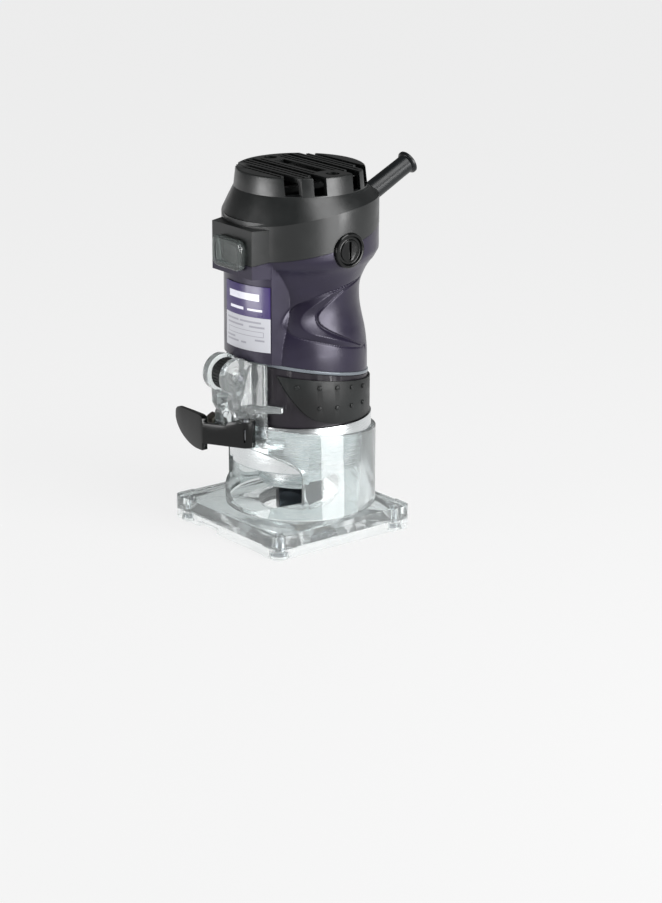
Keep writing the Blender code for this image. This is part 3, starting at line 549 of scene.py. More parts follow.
def carve(obj: bpy.types.Object, *tools: bpy.types.Object, how: str = "DIFFERENCE") -> bpy.types.Object:
    """Cuts, joins or crosses the piece with each tool in turn, and removes the tools.

    Args:
        obj: The piece.
        *tools: The pieces that change it.
        how: The Boolean's operation.

    Returns:
        The same piece.
    """
    for tool in tools:
        modify(obj, "BOOLEAN", object=tool, operation=how, solver="EXACT")
        bpy.data.objects.remove(tool, do_unlink=True)
    return obj


def fuse(obj: bpy.types.Object, *others: bpy.types.Object) -> bpy.types.Object:
    """Joins other pieces to this one."""
    return carve(obj, *others, how="UNION")


def soften(obj: bpy.types.Object, width: float, segments: int = 2, angle: float = 35.0) -> bpy.types.Object:
    """Rounds the edges that turn more than an angle.

    Args:
        obj: The piece.
        width: The rounding's width in millimetres.
        segments: Faces across it.
        angle: The least turn in degrees.

    Returns:
        The same piece.
    """
    return modify(
        obj,
        "BEVEL",
        width=width * MM,
        segments=segments,
        limit_method="ANGLE",
        angle_limit=math.radians(angle),
        miter_outer="MITER_ARC",
    )


def smooth(obj: bpy.types.Object, angle: float = 32.0) -> bpy.types.Object:
    """Shades smooth across edges flatter than an angle.

    Args:
        obj: The piece.
        angle: The largest turn in degrees that is still smooth.

    Returns:
        The same piece.
    """
    pick(obj)
    bpy.ops.object.shade_smooth_by_angle(angle=math.radians(angle))
    return obj


def turn(
    name: str, profile: Sequence[Point], segments: int = 96, axis: Axis = Axis.Z, ring: bool = False
) -> bpy.types.Object:
    """Makes a turned piece by drawing a circle out along its profile.

    Args:
        name: The piece's name.
        profile: (radius, distance along the axis) points down its outer side.
        segments: Sides round.
        axis: The axis it is turned about.
        ring: Whether the profile closes on itself. If it doesn't, each end is filled flat.

    Returns:
        The closed piece.
    """
    deselect()
    radius, height = profile[0]
    bpy.ops.mesh.primitive_circle_add(
        vertices=segments, radius=radius * MM, fill_type="NOTHING", location=(0, 0, height * MM)
    )
    obj = named(name)
    open_edit(obj)
    path = [*profile, profile[0]] if ring else list(profile)
    for (r, z), (r0, z0) in zip(path[1:], path):
        bpy.ops.mesh.extrude_edges_move(TRANSFORM_OT_translate={"value": (0, 0, (z - z0) * MM)})
        bpy.ops.transform.resize(value=(r / r0, r / r0, 1), center_override=(0, 0, z * MM))
    bpy.ops.mesh.select_all(action="SELECT")
    bpy.ops.mesh.remove_doubles(threshold=MERGE)
    if not ring:
        bpy.ops.mesh.select_all(action="SELECT")
        bpy.ops.mesh.fill_holes(sides=0)
    bpy.ops.mesh.select_all(action="SELECT")
    bpy.ops.mesh.normals_make_consistent(inside=False)
    close_edit()
    if axis is Axis.X:
        obj.data.transform(Matrix.Rotation(math.pi / 2, 4, "Y"))
    return obj


def slab(name: str, outline: Sequence[Point], low: float, high: float, axis: Axis = Axis.Z) -> bpy.types.Object:
    """Makes a flat outline and draws it out between two heights.

    Args:
        name: The piece's name.
        outline: (X, Y) points for Z, (Y, Z) for X and (X, Z) for Y.
        low: Where it starts along the axis.
        high: Where it ends.
        axis: The direction it is drawn out.

    Returns:
        The closed piece.
    """
    deselect()
    bpy.ops.mesh.primitive_circle_add(vertices=len(outline), radius=MM, fill_type="NGON")
    obj = named(name)
    start, length = (-high, high - low) if axis is Axis.Y else (low, high - low)
    for vertex, (u, v) in zip(obj.data.vertices, outline):
        vertex.co = (u * MM, v * MM, start * MM)
    open_edit(obj)
    bpy.ops.mesh.extrude_region_move(TRANSFORM_OT_translate={"value": (0, 0, length * MM)})
    bpy.ops.mesh.select_all(action="SELECT")
    bpy.ops.mesh.normals_make_consistent(inside=False)
    close_edit()
    obj.data.transform(axis.matrix())
    return obj


def block(name: str, low: Place, high: Place, bevel: float = 0.0) -> bpy.types.Object:
    """Makes a block between two corners, with its edges rounded if a width is given.

    Args:
        name: The piece's name.
        low: Its lowest corner.
        high: Its highest corner.
        bevel: The width of the rounding, or 0 for sharp edges.

    Returns:
        The closed piece.
    """
    deselect()
    middle = [(a + b) / 2 * MM for a, b in zip(low, high)]
    bpy.ops.mesh.primitive_cube_add(size=1, location=middle, scale=[(b - a) * MM for a, b in zip(low, high)])
    obj = named(name)
    return soften(obj, bevel, 3) if bevel else obj


def rod(name: str, radius: float, start: Place, end: Place, segments: int = 32) -> bpy.types.Object:
    """Makes a round bar from one point to another, which joins or cuts another piece.

    Args:
        name: The piece's name.
        radius: Its radius.
        start: The middle of one end.
        end: The middle of the other.
        segments: Sides round.

    Returns:
        The closed piece.
    """
    deselect()
    along = Vector(end) - Vector(start)
    turned = along.to_track_quat("Z", "Y").to_euler()
    bpy.ops.mesh.primitive_cylinder_add(
        vertices=segments,
        radius=radius * MM,
        depth=along.length * MM,
        location=(Vector(start) + Vector(end)) / 2 * MM,
        rotation=turned,
    )
    return named(name)


def cross_slots(obj: bpy.types.Object, half: float, thin: float, low: float, high: float) -> bpy.types.Object:
    """Cuts a cross recess into a screw that stands on the Z axis.

    Args:
        obj: The screw.
        half: Half the recess's length.
        thin: Half its width.
        low: Where it starts.
        high: Where it ends.

    Returns:
        The same screw.
    """
    return carve(
        obj,
        block("slot_x", (-half, -thin, low), (half, thin, high)),
        block("slot_y", (-thin, -half, low), (thin, half, high)),
    )


def half_space(name: str, middle: float, slope: float, above: bool) -> bpy.types.Object:
    """Makes a large block whose nearest face is the plane z = middle + slope * y.

    Args:
        name: The piece's name.
        middle: The plane's height on the spindle's axis.
        slope: Its rise towards the back.
        above: Whether the block fills the space above the plane.

    Returns:
        The closed piece.
    """
    low, high = (0.0, 150.0) if above else (-150.0, 0.0)
    obj = block(name, (-90, -120, low), (90, 120, high))
    obj.data.transform(Matrix.Translation((0, 0, middle * MM)) @ Matrix.Rotation(math.atan(slope), 4, "X"))
    return obj


def copied(obj: bpy.types.Object, name: str, move: Matrix) -> bpy.types.Object:
    """Returns a copy with its own mesh, moved by a matrix.

    Args:
        obj: The piece.
        name: The copy's name.
        move: Where the copy goes.

    Returns:
        The copy.
    """
    twin = obj.copy()
    twin.data = obj.data.copy()
    twin.name = name
    bpy.context.scene.collection.objects.link(twin)
    twin.data.transform(move)
    return twin


def on_circle(radius: float, degrees: float, centre: Point = (0.0, 0.0)) -> Point:
    """Returns a point at an angle measured from the front, -Y, towards +X.

    Args:
        radius: The circle's radius.
        degrees: The angle.
        centre: The circle's middle.

    Returns:
        The point.
    """
    angle = math.radians(degrees)
    return centre[0] + radius * math.sin(angle), centre[1] - radius * math.cos(angle)


def arc(radius: float, first: float, last: float, steps: int, centre: Point = (0.0, 0.0)) -> list[Point]:
    """Returns points along an arc, with its angles measured from the front."""
    return [on_circle(radius, first + (last - first) * i / steps, centre) for i in range(steps + 1)]


def mirrored(points: Sequence[Point]) -> list[Point]:
    """Returns an outline closed by its own mirror image across X."""
    return [*points, *((-u, v) for u, v in reversed(points))]


def fit(obj: bpy.types.Object, body: Body, finish: Finish, *nodes: str) -> bpy.types.Object:
    """Puts a finished piece on its body, in place of its CAD nodes.

    Args:
        obj: The piece.
        body: The body that it moves with.
        finish: Its surface.
        *nodes: The CAD nodes that it stands for.

    Returns:
        The same piece.
    """
    obj.data.transform(Matrix.Translation((0, AXIS_Y * MM, 0)))
    obj.data.materials.clear()
    obj.data.materials.append(finish.make())
    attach(obj, body.value)
    if nodes:
        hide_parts(*nodes)
    log.info("%s on %s, %d faces", obj.name, body.value, len(obj.data.polygons))
    return obj


def dress(finish: Finish, *nodes: str) -> None:
    """Gives CAD nodes a finish and leaves their shape alone.

    Args:
        finish: The surface.
        *nodes: The CAD nodes.
    """
    for node in nodes:
        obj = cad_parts[node]
        if not obj.material_slots:
            obj.data.materials.append(None)
        for place in obj.material_slots:
            place.material = finish.make()
        log.info("%s dressed as %s", node, finish.name)


def smooth_line(points: Sequence[Point], steps: int = 6) -> list[Point]:
    """Returns a soft curve through the points, with some steps between each two.

    Args:
        points: The points, in order.
        steps: Pieces of curve between two of them.

    Returns:
        The curve's points.
    """
    ends = [points[0], *points, points[-1]]
    line = []
    for a, b, c, d in zip(ends, ends[1:], ends[2:], ends[3:]):
        for i in range(steps):
            t = i / steps
            line.append(
                tuple(
                    0.5 * (2 * q + (r - p) * t + (2 * p - 5 * q + 4 * r - s) * t**2 + (3 * q - p - 3 * r + s) * t**3)
                    for p, q, r, s in zip(a, b, c, d)
                )
            )
    return [*line, points[-1]]


def bisect(obj: bpy.types.Object, middle: float, slope: float, drop_above: bool) -> bpy.types.Object:
    """Cuts a closed piece off at the plane z = middle + slope * y and fills the cut.

    Args:
        obj: The piece.
        middle: The plane's height on the spindle's axis.
        slope: Its rise towards the back.
        drop_above: Whether the part above the plane goes.

    Returns:
        The same piece.
    """
    open_edit(obj)
    bpy.ops.mesh.bisect(
        plane_co=(0, 0, middle * MM),
        plane_no=(0, -slope, 1),
        use_fill=True,
        clear_outer=drop_above,
        clear_inner=not drop_above,
    )
    close_edit()
    return obj


SCREW_TURNS = (65.0, 155.0, 245.0, 335.0)
SCREW_CIRCLE = 31.2
SEAM = (88.9, -0.181)  # the plane between sleeve and housing: its height on the axis and its slope
SPLIT = (155.6, 0.2)  # the plane between housing and cover
PAD_RADIUS = 35.0
PAD_Y = -5.5
PAD_HALF = 20.5
COVER_SCREW_Y = 0.5


# ------------------------------------------------------------------ base


@dataclass
class ClearBase:
    """The clear moulding that holds the motor, with the sole and its screws."""

    half: float = 45.5
    front: float = -49.7
    back: float = 38.3
    top: float = 12.6
    sole_top: float = 5.4
    collar: float = 39.4
    bore: float = 37.3
    tower: float = 16.2
    tower_top: float = 94.3
    slit: float = 4.2
    roller: Point = (-46.0, 88.0)
    bolt: Point = (-44.0, 59.0)

    def foot_outline(self) -> list[Point]:
        """Returns the foot from above: straight sides with a proud block at each corner.

        Returns:
            (X, Y) points round it.
        """
        right = []
        for end, way in ((self.front, 1), (self.back, -1)):
            corner = [on_circle(4.5, 8 + 15 * i, (self.half - 4.5, end + 4.5 * way)) for i in range(6)]
            if way < 0:
                corner = [(x, 2 * (end + 4.5 * way) - y) for x, y in corner]
            points = [(self.half - 13.0, end + 0.9 * way), (self.half - 12.6, end), *corner]
            points += [(self.half, end + 12.6 * way), (self.half - 0.9, end + 13.0 * way)]
            right += points[::way]
        return [*right, *((-x, y) for x, y in reversed(right))]

    def chip_outline(self) -> list[Point]:
        """Returns the chip opening from the front: an arch over a low slanted lip.

        Returns:
            (X, Z) points round it.
        """
        arch = [
            (31.7 * math.cos(math.pi * i / 36), 36.0 + 13.0 * math.sin(math.pi * i / 36)) for i in range(37)
        ]
        return [(-31.7, 22.5), (-10.0, 15.0), (10.0, 15.0), (31.7, 22.5), *arch]

    def lobe_outline(self) -> list[Point]:
        """Returns the side of a roller lobe, which runs back into the tower.

        Returns:
            (Y, Z) points round it.
        """
        y, z = self.roller
        turns = [math.radians(75 + 6 * i) for i in range(29)]
        front = [(y + 9.8 * math.cos(t), z + 9.8 * math.sin(t)) for t in turns]
        return [(-38.2, self.tower_top - 0.2), *front, (-50.0, 72.0), (-46.8, 66.0), (-38.2, 66.0)]

    def screw_places(self) -> list[Point]:
        """Returns the four sole screws' places."""
        return [(x, y) for x in (-38.0, 38.0) for y in (-42.5, 31.0)]

    def make_moulding(self) -> None:
        """Builds the collar, tower, foot, ears and lobes as one clear moulding."""
        body = turn("base_moulding", [(self.collar, self.tower_top), (self.collar, 8.0)], 112)
        rim = half_space("rim_cut", 56.5, -0.115, True)
        carve(rim, block("tower_kept", (-self.tower, -60, 30), (self.tower, -20, 130)))
        carve(body, rim)
        fuse(body, slab("foot", self.foot_outline(), self.sole_top + 0.15, self.top))
        for side in (-1, 1):
            near, far = sorted((side * 4.6, side * 9.0))
            fuse(body, slab("lobe", self.lobe_outline(), near, far, Axis.X))
            near, far = sorted((side * 3.8, side * (7.0 if side > 0 else 12.0)))
            fuse(body, block("ear", (near, -46.8, 52.5), (far, -38.0, 67.0), 1.2))
            wing = [(8.0, -45.0), (8.0, -38.0), (24.0, -29.5), (25.5, -31.5), (14.0, -45.0)]
            fuse(body, slab("wing", [(side * x, y) for x, y in wing], 70.2, 72.8))
            if side > 0:
                tab = [(17.6, -40.2), (17.6, -33.5), (24.0, -29.5), (26.5, -31.0), (20.0, -39.6)]
                fuse(body, slab("low_tab", tab, 51.6, 54.2))
            fuse(body, rod("boss", 3.4, (side * 8.0, *self.roller), (side * 10.6, *self.roller), 40))
        carve(
            body,
            turn("bore", [(self.bore, 140.0), (self.bore, self.top - 0.3)], 112),
            rod("foot_hole", 22.0, (0, 0, -5), (0, 0, 20), 80),
            slab("chip_cut", self.chip_outline(), -60, -12, Axis.Y),
            block("slit", (-self.slit, -60, 40), (self.slit, -30, 120)),
            block("roller_room", (-5.0, -60, 77.5), (5.0, -30, 120)),
            rod("axle_hole", 1.9, (-20, *self.roller), (20, *self.roller), 24),
            rod("bolt_hole", 2.2, (-20, *self.bolt), (20, *self.bolt), 24),
            *(rod("thread", 1.9, (x, y, 0), (x, y, 10.5), 20) for x, y in self.screw_places()),
        )
        smooth(soften(body, 0.55, 2, 40), 40)
        fit(body, Body.BASE, ACRYLIC, "clear_base")

    def make_sole(self) -> None:
        """Builds the clear sole sheet and its four screws."""
        sole = slab("sole_sheet", self.foot_outline(), 0, self.sole_top)
        places = self.screw_places()
        carve(
            sole,
            rod("hole", 19.0, (0, 0, -5), (0, 0, 20), 80),
            block("notch", (-24, self.front - 5, -5), (-8, self.front + 4, 3.0), 0.8),
            *(rod("shank", 2.1, (x, y, -5), (x, y, 20), 20) for x, y in places),
            *(rod("head", 4.0, (x, y, -5), (x, y, 3.1), 28) for x, y in places),
        )
        smooth(soften(sole, 0.45, 2, 40), 40)
        fit(sole, Body.BASE, ACRYLIC, "sole_plate")
        profile = [(0.8, 10.0), (1.6, 9.3), (1.6, 3.3), (1.8, 2.8), (3.5, 2.8), (3.7, 2.5), (3.7, 1.1), (3.3, 0.8)]
        screw = turn("foot_screw", profile, 28)
        cross_slots(screw, 2.4, 0.4, 0, 1.9)
        smooth(screw)
        for number, (x, y) in enumerate(places, 1):
            twin = copied(screw, f"foot_screw_{number}", Matrix.Translation((x * MM, y * MM, 0)))
            fit(twin, Body.BASE, STEEL, f"sole_screw_{number}")
        bpy.data.objects.remove(screw, do_unlink=True)

    def make_clamp(self) -> None:
        """Builds the clamp's eye bolt, lock nut and hinge pin."""
        y, z = self.bolt
        profile = [(2.0, 11.0), *((2.0 - 0.22 * (i % 2), -11.0 - 0.35 * i) for i in range(29)), (1.5, -21.5)]
        bolt = turn("eye_bolt", profile, 32, Axis.X)
        bolt.data.transform(Matrix.Translation((0, y * MM, z * MM)))
        eye = turn("eye", [(3.0, 3.0), (3.3, 2.6), (3.3, -2.6), (3.0, -3.0), (1.7, -3.0), (1.7, 3.0)], 40, ring=True)
        eye.data.transform(Matrix.Translation((12.0 * MM, y * MM, z * MM)))
        smooth(fuse(bolt, eye))
        fit(bolt, Body.BASE, STEEL_X, "clamp_bolt")
        nut = rod("lock_nut", 4.6, (-18.0, y, z), (-12.4, y, z), 6)
        round_off = turn("round_off", [(3.9, -18.1), (4.7, -17.4), (4.7, -13.0), (3.9, -12.3)], 48, Axis.X)
        round_off.data.transform(Matrix.Translation((0, y * MM, z * MM)))
        carve(nut, round_off, how="INTERSECT")
        carve(nut, rod("nut_hole", 2.15, (-25, y, z), (0, y, z), 32))
        smooth(soften(nut, 0.2, 2), 30)
        fit(nut, Body.BASE, BRIGHT, "clamp_nut")
        pin = turn("hinge_pin", [(1.1, 66.2), (1.5, 65.8), (1.5, 52.0), (1.1, 51.6)], 32)
        pin.data.transform(Matrix.Translation((12.0 * MM, y * MM, 0)))
        fit(smooth(pin, 50), Body.BASE, STEEL, "lever_pin")

    def build(self) -> None:
        """Builds all that stays with the work."""
        self.make_moulding()
        self.make_sole()
        self.make_clamp()


@dataclass
class ThumbLever:
    """The gloss black lever that closes the clamp."""

    pin: Point = (12.0, -44.0)
    low: float = 52.3
    high: float = 63.0
    hub_high: float = 65.5
    hub: float = 4.7

    def build(self) -> None:
        """Crosses the lever's plan with its side view and rounds the result."""
        back = smooth_line([(-5.0, -4.4), (-10.0, -7.6), (-15.4, -10.6), (-19.0, -11.8), (-44.0, -11.0)], 4)
        front = smooth_line([(-44.3, -12.8), (-20.6, -14.9), (-17.0, -15.1)], 3)
        plan = [*arc(self.hub, 30, 230, 36), *back, *front]
        lever = slab("thumb_lever", plan, 40, 75)
        tab_low = [(-17.6, 48.4), (-25.0, 48.2), (-32.0, 49.6), (-38.5, 52.6), (-42.8, 56.6), (-44.6, 60.6)]
        tab_high = [(-44.0, 64.0), (-41.6, 65.9), (-36.0, 66.3), (-26.0, 66.6), (-18.6, 66.3), (-17.2, self.high)]
        hub = [(-6.0, self.high), (-4.0, self.hub_high), (8.0, self.hub_high), (8.0, self.low), (-17.6, self.low)]
        side = [*smooth_line(tab_low, 4), *smooth_line(tab_high, 4), *hub]
        carve(lever, slab("lever_side", side, -40, 40, Axis.Y), how="INTERSECT")
        carve(
            lever,
            block("eye_room", (-12, -3.7, 55.5), (3.5, 8, 62.5)),
            rod("pin_room", 1.65, (0, 0, 30), (0, 0, 90), 32),
        )
        smooth(soften(lever, 0.6, 3, 40), 40)
        lever.data.transform(Matrix.Translation((self.pin[0] * MM, self.pin[1] * MM, 0)))
        fit(lever, Body.LEVER, GLOSS, "clamp_lever")


@dataclass
class DepthRoller:
    """The grooved roller that moves the motor up and down, with its hub and axle."""

    place: Point = (-46.0, 88.0)
    radius: float = 8.2
    half: float = 4.5
    grooves: int = 30

    def build(self) -> None:
        """Builds the tyre, its core and the axle."""
        outline = []
        for i in range(self.grooves):
            for part, out in ((-0.32, 0.0), (-0.2, 1.0), (0.2, 1.0), (0.32, 0.0)):
                angle = math.tau * (i + part) / self.grooves
                reach = self.radius - 0.55 * (1 - out)
                outline.append((reach * math.cos(angle), reach * math.sin(angle)))
        tyre = slab("grooved_tyre", outline, -self.half, self.half, Axis.X)
        crown = [(7.4, self.half), (8.25, self.half - 0.9), (8.25, 0.9 - self.half), (7.4, -self.half)]
        carve(tyre, turn("crown", crown, 96, Axis.X), how="INTERSECT")
        carve(tyre, rod("tyre_bore", 5.0, (-9, 0, 0), (9, 0, 0), 64))
        core = [(4.4, 4.5), (4.7, 4.2), (4.7, -4.2), (4.4, -4.5), (3.9, -4.5), (3.6, -3.6), (2.5, -3.6), (2.4, -4.5)]
        core += [(1.9, -4.5), (1.9, 4.5), (2.4, 4.5), (2.5, 3.6), (3.6, 3.6), (3.9, 4.5)]
        hub = turn("tyre_core", core, 56, Axis.X, ring=True)
        axle = turn("roller_pin", [(1.2, 10.8), (1.6, 10.4), (1.6, -10.4), (1.2, -10.8)], 40, Axis.X)
        for piece, body, finish, node in (
            (tyre, Body.ROLLER, TYRE, "roller_tyre"),
            (hub, Body.ROLLER, INNER, "roller_hub"),
            (axle, Body.BASE, STEEL_X, "roller_axle"),
        ):
            piece.data.transform(Matrix.Translation((0, self.place[0] * MM, self.place[1] * MM)))
            fit(smooth(piece, 30), body, finish, node)


# ------------------------------------------------------------------ motor casing


@dataclass
class BearingBracket:
    """The bright end bracket, its nose, and the long screws through the casing."""

    radius: float = 36.9
    low: float = 36.5
    top: float = 61.2
    nose: float = 22.2
    nose_low: float = 24.0

    def build(self) -> None:
        """Builds the bracket and its screws."""
        profile = [
            (self.radius, self.top), (self.radius, self.low + 0.7), (self.radius - 0.7, self.low),
            (self.nose + 1.2, self.low), (self.nose, self.low - 1.2), (self.nose, self.nose_low + 1.0),
            (self.nose - 0.4, self.nose_low + 0.3), (self.nose - 1.0, self.nose_low), (9.8, self.nose_low),
            (9.5, self.nose_low + 0.3), (9.5, 26.5), (14.3, 26.5), (14.3, 40.0), (33.6, 40.0), (33.6, self.top),
        ]
        bracket = turn("bearing_bracket", profile, 144, ring=True)
        places = [on_circle(SCREW_CIRCLE, angle) for angle in SCREW_TURNS]
        fuse(bracket, *(rod("boss", 3.4, (x, y, 39), (x, y, self.top - 0.1), 32) for x, y in places))
        seats = []
        for angle, (x, y) in zip(SCREW_TURNS, places):
            inner = [on_circle(3.6, angle + 90 + 180 * i / 16, (x, y)) for i in range(17)]
            far = on_circle(40.0, angle)
            outer = [on_circle(3.6, angle + 270, far), on_circle(3.6, angle + 90, far)]
            seats.append(slab("seat", [*inner, *outer], 30, 39.4))
        air = [on_circle(26.5, i * 45 + 42) for i in range(8)]
        carve(
            bracket,
            *seats,
            *(rod("screw_hole", 2.0, (x, y, 30), (x, y, 70), 24) for x, y in places),
            *(rod("air", 2.0, (x, y, 30), (x, y, 45), 24) for x, y in air),
        )
        smooth(soften(bracket, 0.25, 2, 50), 30)
        fit(bracket, Body.MOTOR, ALUMINIUM, "end_bracket")
        self.make_screws(places)

    def make_screws(self, places: Sequence[Point]) -> None:
        """Builds one long screw and copies it to each place.

        Args:
            places: The screws' (X, Y) places.
        """
        profile = [(1.0, 97.0), (1.6, 96.4), (1.6, 39.1), (3.0, 39.1), (3.1, 38.6), (2.8, 37.7), (1.8, 37.2)]
        screw = turn("case_screw", profile, 28)
        cross_slots(screw, 1.9, 0.35, 36, 38.4)
        smooth(screw)
        for number, (x, y) in enumerate(places, 1):
            twin = copied(screw, f"case_screw_{number}", Matrix.Translation((x * MM, y * MM, 0)))
            fit(twin, Body.MOTOR, BRIGHT, f"bracket_screw_{number}")
        bpy.data.objects.remove(screw, do_unlink=True)


@dataclass
class FanSleeve:
    """The sleeve between bracket and housing, the pale seam strip and the two side grips."""

    radius: float = 35.0
    inner: float = 32.6
    low: float = 61.35

    def make_sleeve(self) -> None:
        """Builds the sleeve with its driving rib."""
        wall = [(self.radius, 110), (self.radius, self.low), (self.inner, self.low), (self.inner, 110)]
        sleeve = turn("fan_sleeve", wall, 144, ring=True)
        fuse(sleeve, block("rib", (-3.4, -37.5, self.low), (3.4, -33.5, 109.0)))
        places = [on_circle(SCREW_CIRCLE, angle) for angle in SCREW_TURNS]
        fuse(sleeve, *(rod("boss", 3.0, (x, y, self.low), (x, y, 108.0), 28) for x, y in places))
        carve(sleeve, *(rod("hole", 2.0, (x, y, 50), (x, y, 120), 24) for x, y in places))
        for step in range(18):
            z = 64.0 + step * 2.4
            carve(sleeve, block("tooth_gap", (-2.6, -39.0, z), (2.6, -36.9, z + 1.1)))
        carve(sleeve, half_space("sleeve_top", SEAM[0] - 2.1, SEAM[1], True))
        smooth(soften(sleeve, 0.25, 2, 50), 30)
        fit(sleeve, Body.MOTOR, PLUM, "lower_sleeve")

    def make_strip(self) -> None:
        """Builds the pale strip in the tilted seam."""
        strip = turn("seam_strip", [(35.2, 110), (35.2, 60), (34.0, 60), (34.0, 110)], 144, ring=True)
        carve(
            strip,
            half_space("strip_top", SEAM[0] - 0.15, SEAM[1], True),
            half_space("strip_low", SEAM[0] - 1.8, SEAM[1], False),
        )
        smooth(soften(strip, 0.25, 3, 50), 40)
        fit(strip, Body.MOTOR, SEAL, "rim_strip")

    def grip_outline(self) -> list[Point]:
        """Returns a grip from the side, with a lower edge that sweeps up to the front.

        Returns:
            (Y, Z) points round it.
        """
        sweep = [
            (-30.0, 88.6), (-27.0, 80.0), (-23.0, 73.0), (-18.5, 67.6), (-12.0, 64.2), (-3.0, 62.3), (12.0, 61.8),
        ]
        return [*smooth_line(sweep, 5), (45.0, 61.8), (45.0, 77.8)]

    def make_grips(self) -> None:
        """Builds the rubber grips with their two rows of small beads."""
        for word, side in (("right", 1), ("left", -1)):
            grip = turn("side_grip_" + word, [(36.2, 110), (36.2, 55), (35.3, 55), (35.3, 110)], 144, ring=True)
            low, high = sorted((side * 8, side * 50))
            carve(grip, slab("outline", self.grip_outline(), low, high, Axis.X), how="INTERSECT")
            soften(grip, 0.3, 2, 50)
            beads = []
            top_row = ((50.0, 83.2), (68.4, 82.4), (83.8, 81.6), (99.0, 80.2), (115.0, 78.6))
            low_row = ((68.4, 71.6), (83.8, 71.0), (99.0, 70.4), (115.0, 69.8))
            for angle, z in (*top_row, *low_row):
                x, y = on_circle(36.0, side * angle)
                x1, y1 = on_circle(36.95, side * angle)
                bead = rod("bead", 1.25, (x, y, z), (x1, y1, z), 20)
                beads.append(soften(bead, 0.6, 3, 40))
            fuse(grip, *beads)
            smooth(grip, 40)
            fit(grip, Body.MOTOR, GRIP, "grip_" + word)

    def build(self) -> None:
        """Builds the sleeve's pieces."""
        self.make_sleeve()
        self.make_strip()
        self.make_grips()


def fittings() -> bpy.types.Object:
    """Makes one cutter for the openings that the housing and the cover share.

    Returns:
        The cutter.
    """
    start = Vector((0, 33.0, 164.0))
    rise = math.radians(27.0)
    way = Vector((0, math.cos(rise), math.sin(rise)))
    tool = rod("guard_hole", 5.7, start - way * 3, start + way * 20, 48)
    for side in (-1, 1):
        fuse(tool, rod("cap_hole", 9.15, (side * 34, 0, 153.6), (side * 50, 0, 153.6), 72))
    fuse(tool, block("switch_room", (-12.5, -41.4, 143.0), (12.5, -18, 160.5)))
    fuse(tool, block("switch_window", (-8.6, -50, 144.1), (8.6, -30, 158.9)))
    return tool


WAIST = [
    (41.0, 176.0), (40.3, 165.0), (40.3, 150.0), (39.6, 147.5), (38.0, 144.6), (36.0, 142.2), (34.0, 139.0),
    (32.3, 135.4), (31.1, 132.2), (30.4, 128.0), (30.4, 122.0), (31.0, 117.0), (32.2, 111.0), (33.3, 106.0),
    (34.1, 100.0), (34.6, 92.0), (34.6, 70.0),
]


